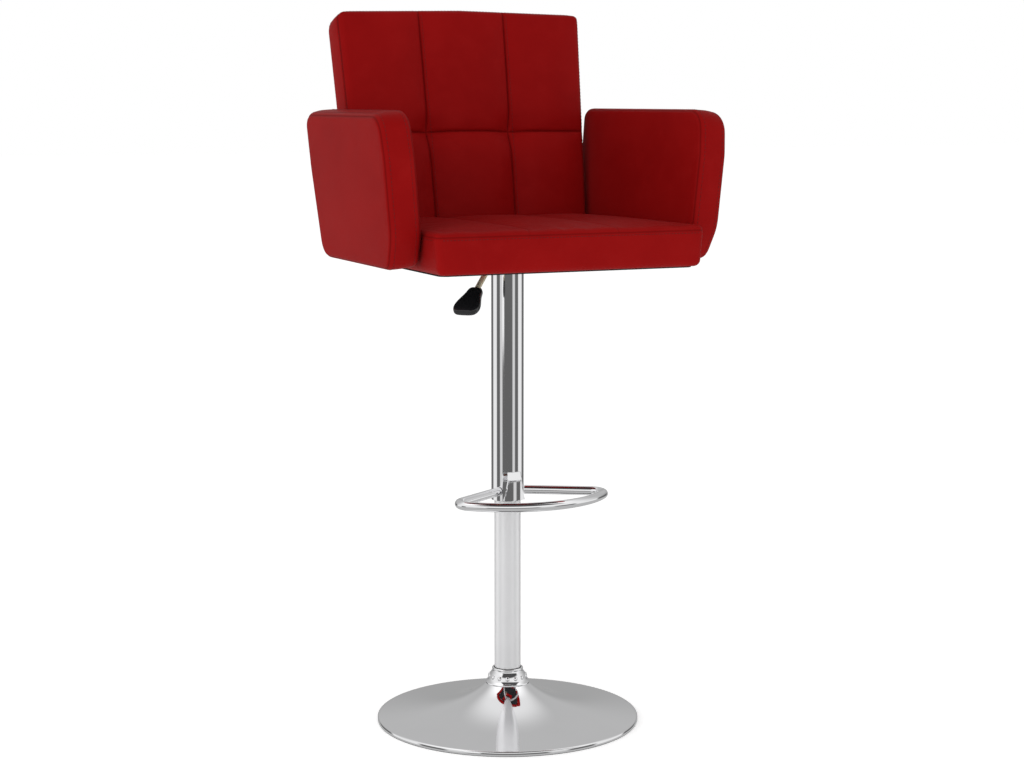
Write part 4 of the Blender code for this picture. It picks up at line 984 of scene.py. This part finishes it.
def add_tubes():
    """The lower column, the cover tube and the rubber ring under the base, turned smooth."""
    jobs = (("column_satin", "lower_column", SATIN_CHROME, "base", "satin_chrome", 0.002, 96),
            ("cover_tube_polished", "cover_tube", CHROME, "upper", "chrome", 0.0015, 120),
            ("floor_ring_rubber", "floor_ring", RUBBER, "base", "rubber", 0.011, 160))
    for name, node, look, body, slot, wall, segments in jobs:
        low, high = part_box(node)
        add_piece(name, lathe(name, ring_profile(high.x - wall, high.x, low.z, high.z), segments), look, body,
                  (node,), 40)


# ---------------------------------------------------------------- footrest
def footrest_points():
    """The rod's centre line: out along one bar, round the front arc, and back along the other."""
    low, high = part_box("footrest_ring")
    rod_r = 0.0065
    z = (low.z + high.z) / 2
    arc_r = -low.y - rod_r
    start_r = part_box("cover_tube")[1].x + 0.0012

    def out(angle, r):
        return Vector((r * math.sin(angle), -r * math.cos(angle), z))

    corner_reach = arc_r - FOOTREST_CORNER_R
    corner_turn = math.asin(FOOTREST_CORNER_R / corner_reach)
    corner_angle = FOOTREST_SPREAD - corner_turn
    bar_end = math.sqrt(corner_reach ** 2 - FOOTREST_CORNER_R ** 2)
    half = [out(FOOTREST_SPREAD, start_r + (bar_end - start_r) * k / 20) for k in range(21)]
    centre = out(corner_angle, corner_reach)
    flat = Vector((0, 0, z))
    for k in range(1, 17):
        heading = FOOTREST_SPREAD + math.pi / 2 - (math.pi / 2 + corner_turn) * k / 16
        half.append(centre + out(heading, FOOTREST_CORNER_R) - flat)
    for k in range(1, 31):
        half.append(out(corner_angle * (1 - k / 30), arc_r))
    other = [Vector((-p.x, p.y, p.z)) for p in reversed(half[:-1])]
    return half + other, rod_r


def add_footrest():
    """The bent chrome rod and the pressed saddle that holds it on the cover tube."""
    points, rod_r = footrest_points()
    add_piece("footrest_rod", tube("footrest_rod", points, rod_r, 28), CHROME, "upper",
              ("footrest_ring",), 50)

    low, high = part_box("footrest_saddle")
    tube_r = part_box("cover_tube")[1].x + 0.0003
    outer_r = -low.y
    height = high.z - low.z
    up_steps, around_steps = 30, 36
    bm = bmesh.new()
    skins = []
    for skin in ("outer", "inner"):
        rows = []
        for i in range(up_steps + 1):
            t = i / up_steps
            spread = math.radians(41 - 15.5 * min(1.0, t / 0.70) ** 0.8)
            z = low.z + height * t
            row = []
            for j in range(around_steps + 1):
                a = 2 * j / around_steps - 1
                angle = spread * a
                if skin == "inner":
                    r = tube_r
                else:
                    stand = outer_r - tube_r
                    if t > 0.74:
                        stand *= 1 - 0.72 * (t - 0.74) / 0.26
                    edge = max(0.0, (abs(a) - 0.80) / 0.20)
                    r = tube_r + stand * (1 - 0.55 * edge ** 2)
                row.append(bm.verts.new((r * math.sin(angle), -r * math.cos(angle), z)))
            rows.append(row)
        skins.append(rows)
    outer, inner = skins
    for rows in skins:
        for i in range(up_steps):
            for j in range(around_steps):
                bm.faces.new((rows[i][j], rows[i][j + 1], rows[i + 1][j + 1], rows[i + 1][j]))
    for j in range(around_steps):
        for i in (0, up_steps):
            bm.faces.new((outer[i][j], outer[i][j + 1], inner[i][j + 1], inner[i][j]))
    for i in range(up_steps):
        for j in (0, around_steps):
            bm.faces.new((outer[i][j], outer[i + 1][j], inner[i + 1][j], inner[i][j]))
    add_piece("footrest_clamp", mesh_of(bm, "footrest_clamp"), CHROME, "upper", ("footrest_saddle",), 12)


# ---------------------------------------------------------------- lift lever
def add_paddle():
    """The moulded paddle on the lever: a narrow neck that widens to a thick rounded end."""
    joint = next(j for j in frame["record"]["behaviour"]["joints"] if j["name"] == "lever_lift")
    pivot = Vector(joint["pos_m"])
    out = Vector((-math.sin(LEVER_AZIMUTH), -math.cos(LEVER_AZIMUTH), 0))
    neck_reach, neck_drop = 0.118 - 0.026, 0.0395
    neck = pivot + out * neck_reach - Vector((0, 0, neck_drop))
    ahead = (out * math.cos(PADDLE_SLOPE) - Vector((0, 0, math.sin(PADDLE_SLOPE)))).normalized()
    across = ahead.cross(Vector((0, 0, 1))).normalized()
    over = across.cross(ahead)
    stations = [(0.0, 0.0074, 0.0050), (0.0010, 0.0096, 0.0058), (0.004, 0.0108, 0.0062), (0.010, 0.0115, 0.0065),
                (0.016, 0.0128, 0.0068), (0.023, 0.0150, 0.0071), (0.030, 0.0172, 0.0073), (0.036, 0.0186, 0.0074),
                (0.042, 0.0190, 0.0073), (0.047, 0.0182, 0.0069), (0.0510, 0.0166, 0.0060), (0.0536, 0.0142, 0.0046),
                (0.0548, 0.0116, 0.0030)]
    sides = 32
    bm = bmesh.new()
    rings = []
    for along, half_w, half_h in stations:
        ring = []
        for k in range(sides):
            turn = math.tau * k / sides
            c, s = math.cos(turn), math.sin(turn)
            w = math.copysign(abs(c) ** 0.62, c) * half_w
            h = math.copysign(abs(s) ** 0.62, s) * half_h
            dish = 0.0011 * math.exp(-((along - 0.036) / 0.011) ** 2) * (1 - (w / half_w) ** 2) if s > 0 else 0
            ring.append(bm.verts.new(neck + ahead * along + across * w + over * (h - dish)))
        rings.append(ring)
    bridge(bm, rings)
    bm.faces.new(rings[0])
    bm.faces.new(rings[-1])
    piece = add_piece("paddle", mesh_of(bm, "paddle"), GLOSS_BLACK, "lever", ("lever_paddle",), 60)
    subdivide(piece)


# ---------------------------------------------------------------- CAD nodes that stay
def finish_frame():
    """Give every CAD node the finish of its slot."""
    slots = {entry["node"]: entry["material_slot"] for entry in frame["record"]["subparts"]}
    for name, obj in frame["nodes"].items():
        obj.data.materials.clear()
        obj.data.materials.append(FINISHES[slots[name]])


# ---------------------------------------------------------------- studio
def add_stage():
    """A wide pale floor."""
    mesh = bpy.data.meshes.new("studio_floor")
    wide = 30
    mesh.from_pydata([(-wide, -wide, 0), (wide, -wide, 0), (wide, wide, 0), (-wide, wide, 0)], [], [(0, 1, 2, 3)])
    floor = bpy.data.objects.new("studio_floor", mesh)
    bpy.context.scene.collection.objects.link(floor)
    material, _, _ = finish("floor_look", (0.92, 0.92, 0.92), Roughness=0.9, **{
        "Specular IOR Level": 0.0, "Emission Color": (1, 1, 1, 1), "Emission Strength": 0.38})
    mesh.materials.append(material)
    floor.visible_glossy = False


def mirrored_studio(tree, turn, z):
    """What only mirrors see. turn goes once round, 0.5 on the camera's side, and z is how far up a way points."""
    side = STUDIO_DARK
    for azimuth, half_width, brightness in STRIP_LIGHTS:
        away = (turn - (0.5 + azimuth / 360)).other("ABSOLUTE")
        away = away.other("MINIMUM", 1 - away)
        glow = 1 - away.step(half_width / 360, (half_width + STRIP_EDGE) / 360)
        side = side + glow * brightness
    # a narrow card left of the camera, which the base's neck mirrors, over a grey floor
    card = (1 - (turn - 0.4165).other("ABSOLUTE").step(0.015, 0.026)) * z.step(-0.128, -0.108)
    walls = tree.mix(card, side, (1.05, 1.05, 1.05, 1.0))
    low = tree.mix(z.step(-0.275, -0.215), (0.52, 0.52, 0.52, 1.0), walls)
    # the ceiling: dimmer at the back, with a dark gap over the camera, which the collar mirrors
    far = (turn * 2 - 1).other("ABSOLUTE")
    front_gap = (1 - (turn - 0.55).other("ABSOLUTE").step(0.150, 0.180)) * z.step(0.53, 0.64)
    low_back = far.step(0.55, 0.85) * (1 - z.step(0.08, 0.36))
    ceiling = 0.98 - 0.45 * far.step(0.45, 0.75) - 0.13 * low_back + 0.35 * z.step(0.55, 0.9)
    return tree.mix(z.step(-0.02, 0.10), low, ceiling * (1 - front_gap * 0.93))


def add_light():
    """Even white room light, a mirrored surround for the chrome, and one soft key lamp."""
    scene = bpy.context.scene
    world = bpy.data.worlds.new("studio")
    scene.world = world
    world.cycles.sampling_method = "NONE"
    tree = Tree(world)
    toward = tree.node("ShaderNodeTexCoord", out="Generated")
    split = tree.node("ShaderNodeSeparateXYZ", None, {"Vector": toward})
    x, y, z = (Value(tree, socket) for socket in split.socket.node.outputs)
    turn = ((y.other("ARCTAN2", x) - FROM_CAMERA) / math.tau + 1.5).other("FRACT")
    mirrored = mirrored_studio(tree, turn, z)
    soft = 1.02 - 0.42 * z.step(0.1, 0.95) - x * 0.14 - y * 0.04
    path = tree.node("ShaderNodeLightPath", out="Is Camera Ray").socket.node
    lit = tree.mix(Value(tree, path.outputs["Is Glossy Ray"]), soft, mirrored)
    seen = tree.mix(Value(tree, path.outputs["Is Camera Ray"]), lit, (1.0, 1.0, 1.0, 1.0))
    background = tree.node("ShaderNodeBackground", None, {"Color": seen, "Strength": 1.0})
    tree.node("ShaderNodeOutputWorld", None, {"Surface": background})

    lamp = bpy.data.lights.new("key", "AREA")
    lamp.shape = "RECTANGLE"
    lamp.size = 2.4
    lamp.size_y = 2.0
    lamp.energy = 14
    key = bpy.data.objects.new("key", lamp)
    scene.collection.objects.link(key)
    key.location = (-2.6, -1.6, 1.9)
    key.rotation_euler = (Vector((0, 0, 0.75)) - key.location).to_track_quat("-Z", "Y").to_euler()
    key.visible_glossy = False
    scene.view_settings.view_transform = "Standard"


def add_camera():
    """The camera at the backrest's height, three metres off, to the sitter's right."""
    data = bpy.data.cameras.new("camera")
    data.lens = CAMERA_LENS
    data.sensor_width = 36
    camera = bpy.data.objects.new("camera", data)
    camera.location = CAMERA_PLACE
    camera.rotation_euler = CAMERA_TURN
    bpy.context.scene.collection.objects.link(camera)
    bpy.context.scene.camera = camera


add_camera()
add_stage()
add_light()
finish_frame()
add_base()
add_collar()
add_tubes()
add_footrest()
add_paddle()
add_lining()
add_seat()
add_backrest()
add_arm("left_arm", 1)
add_arm("right_arm", -1)
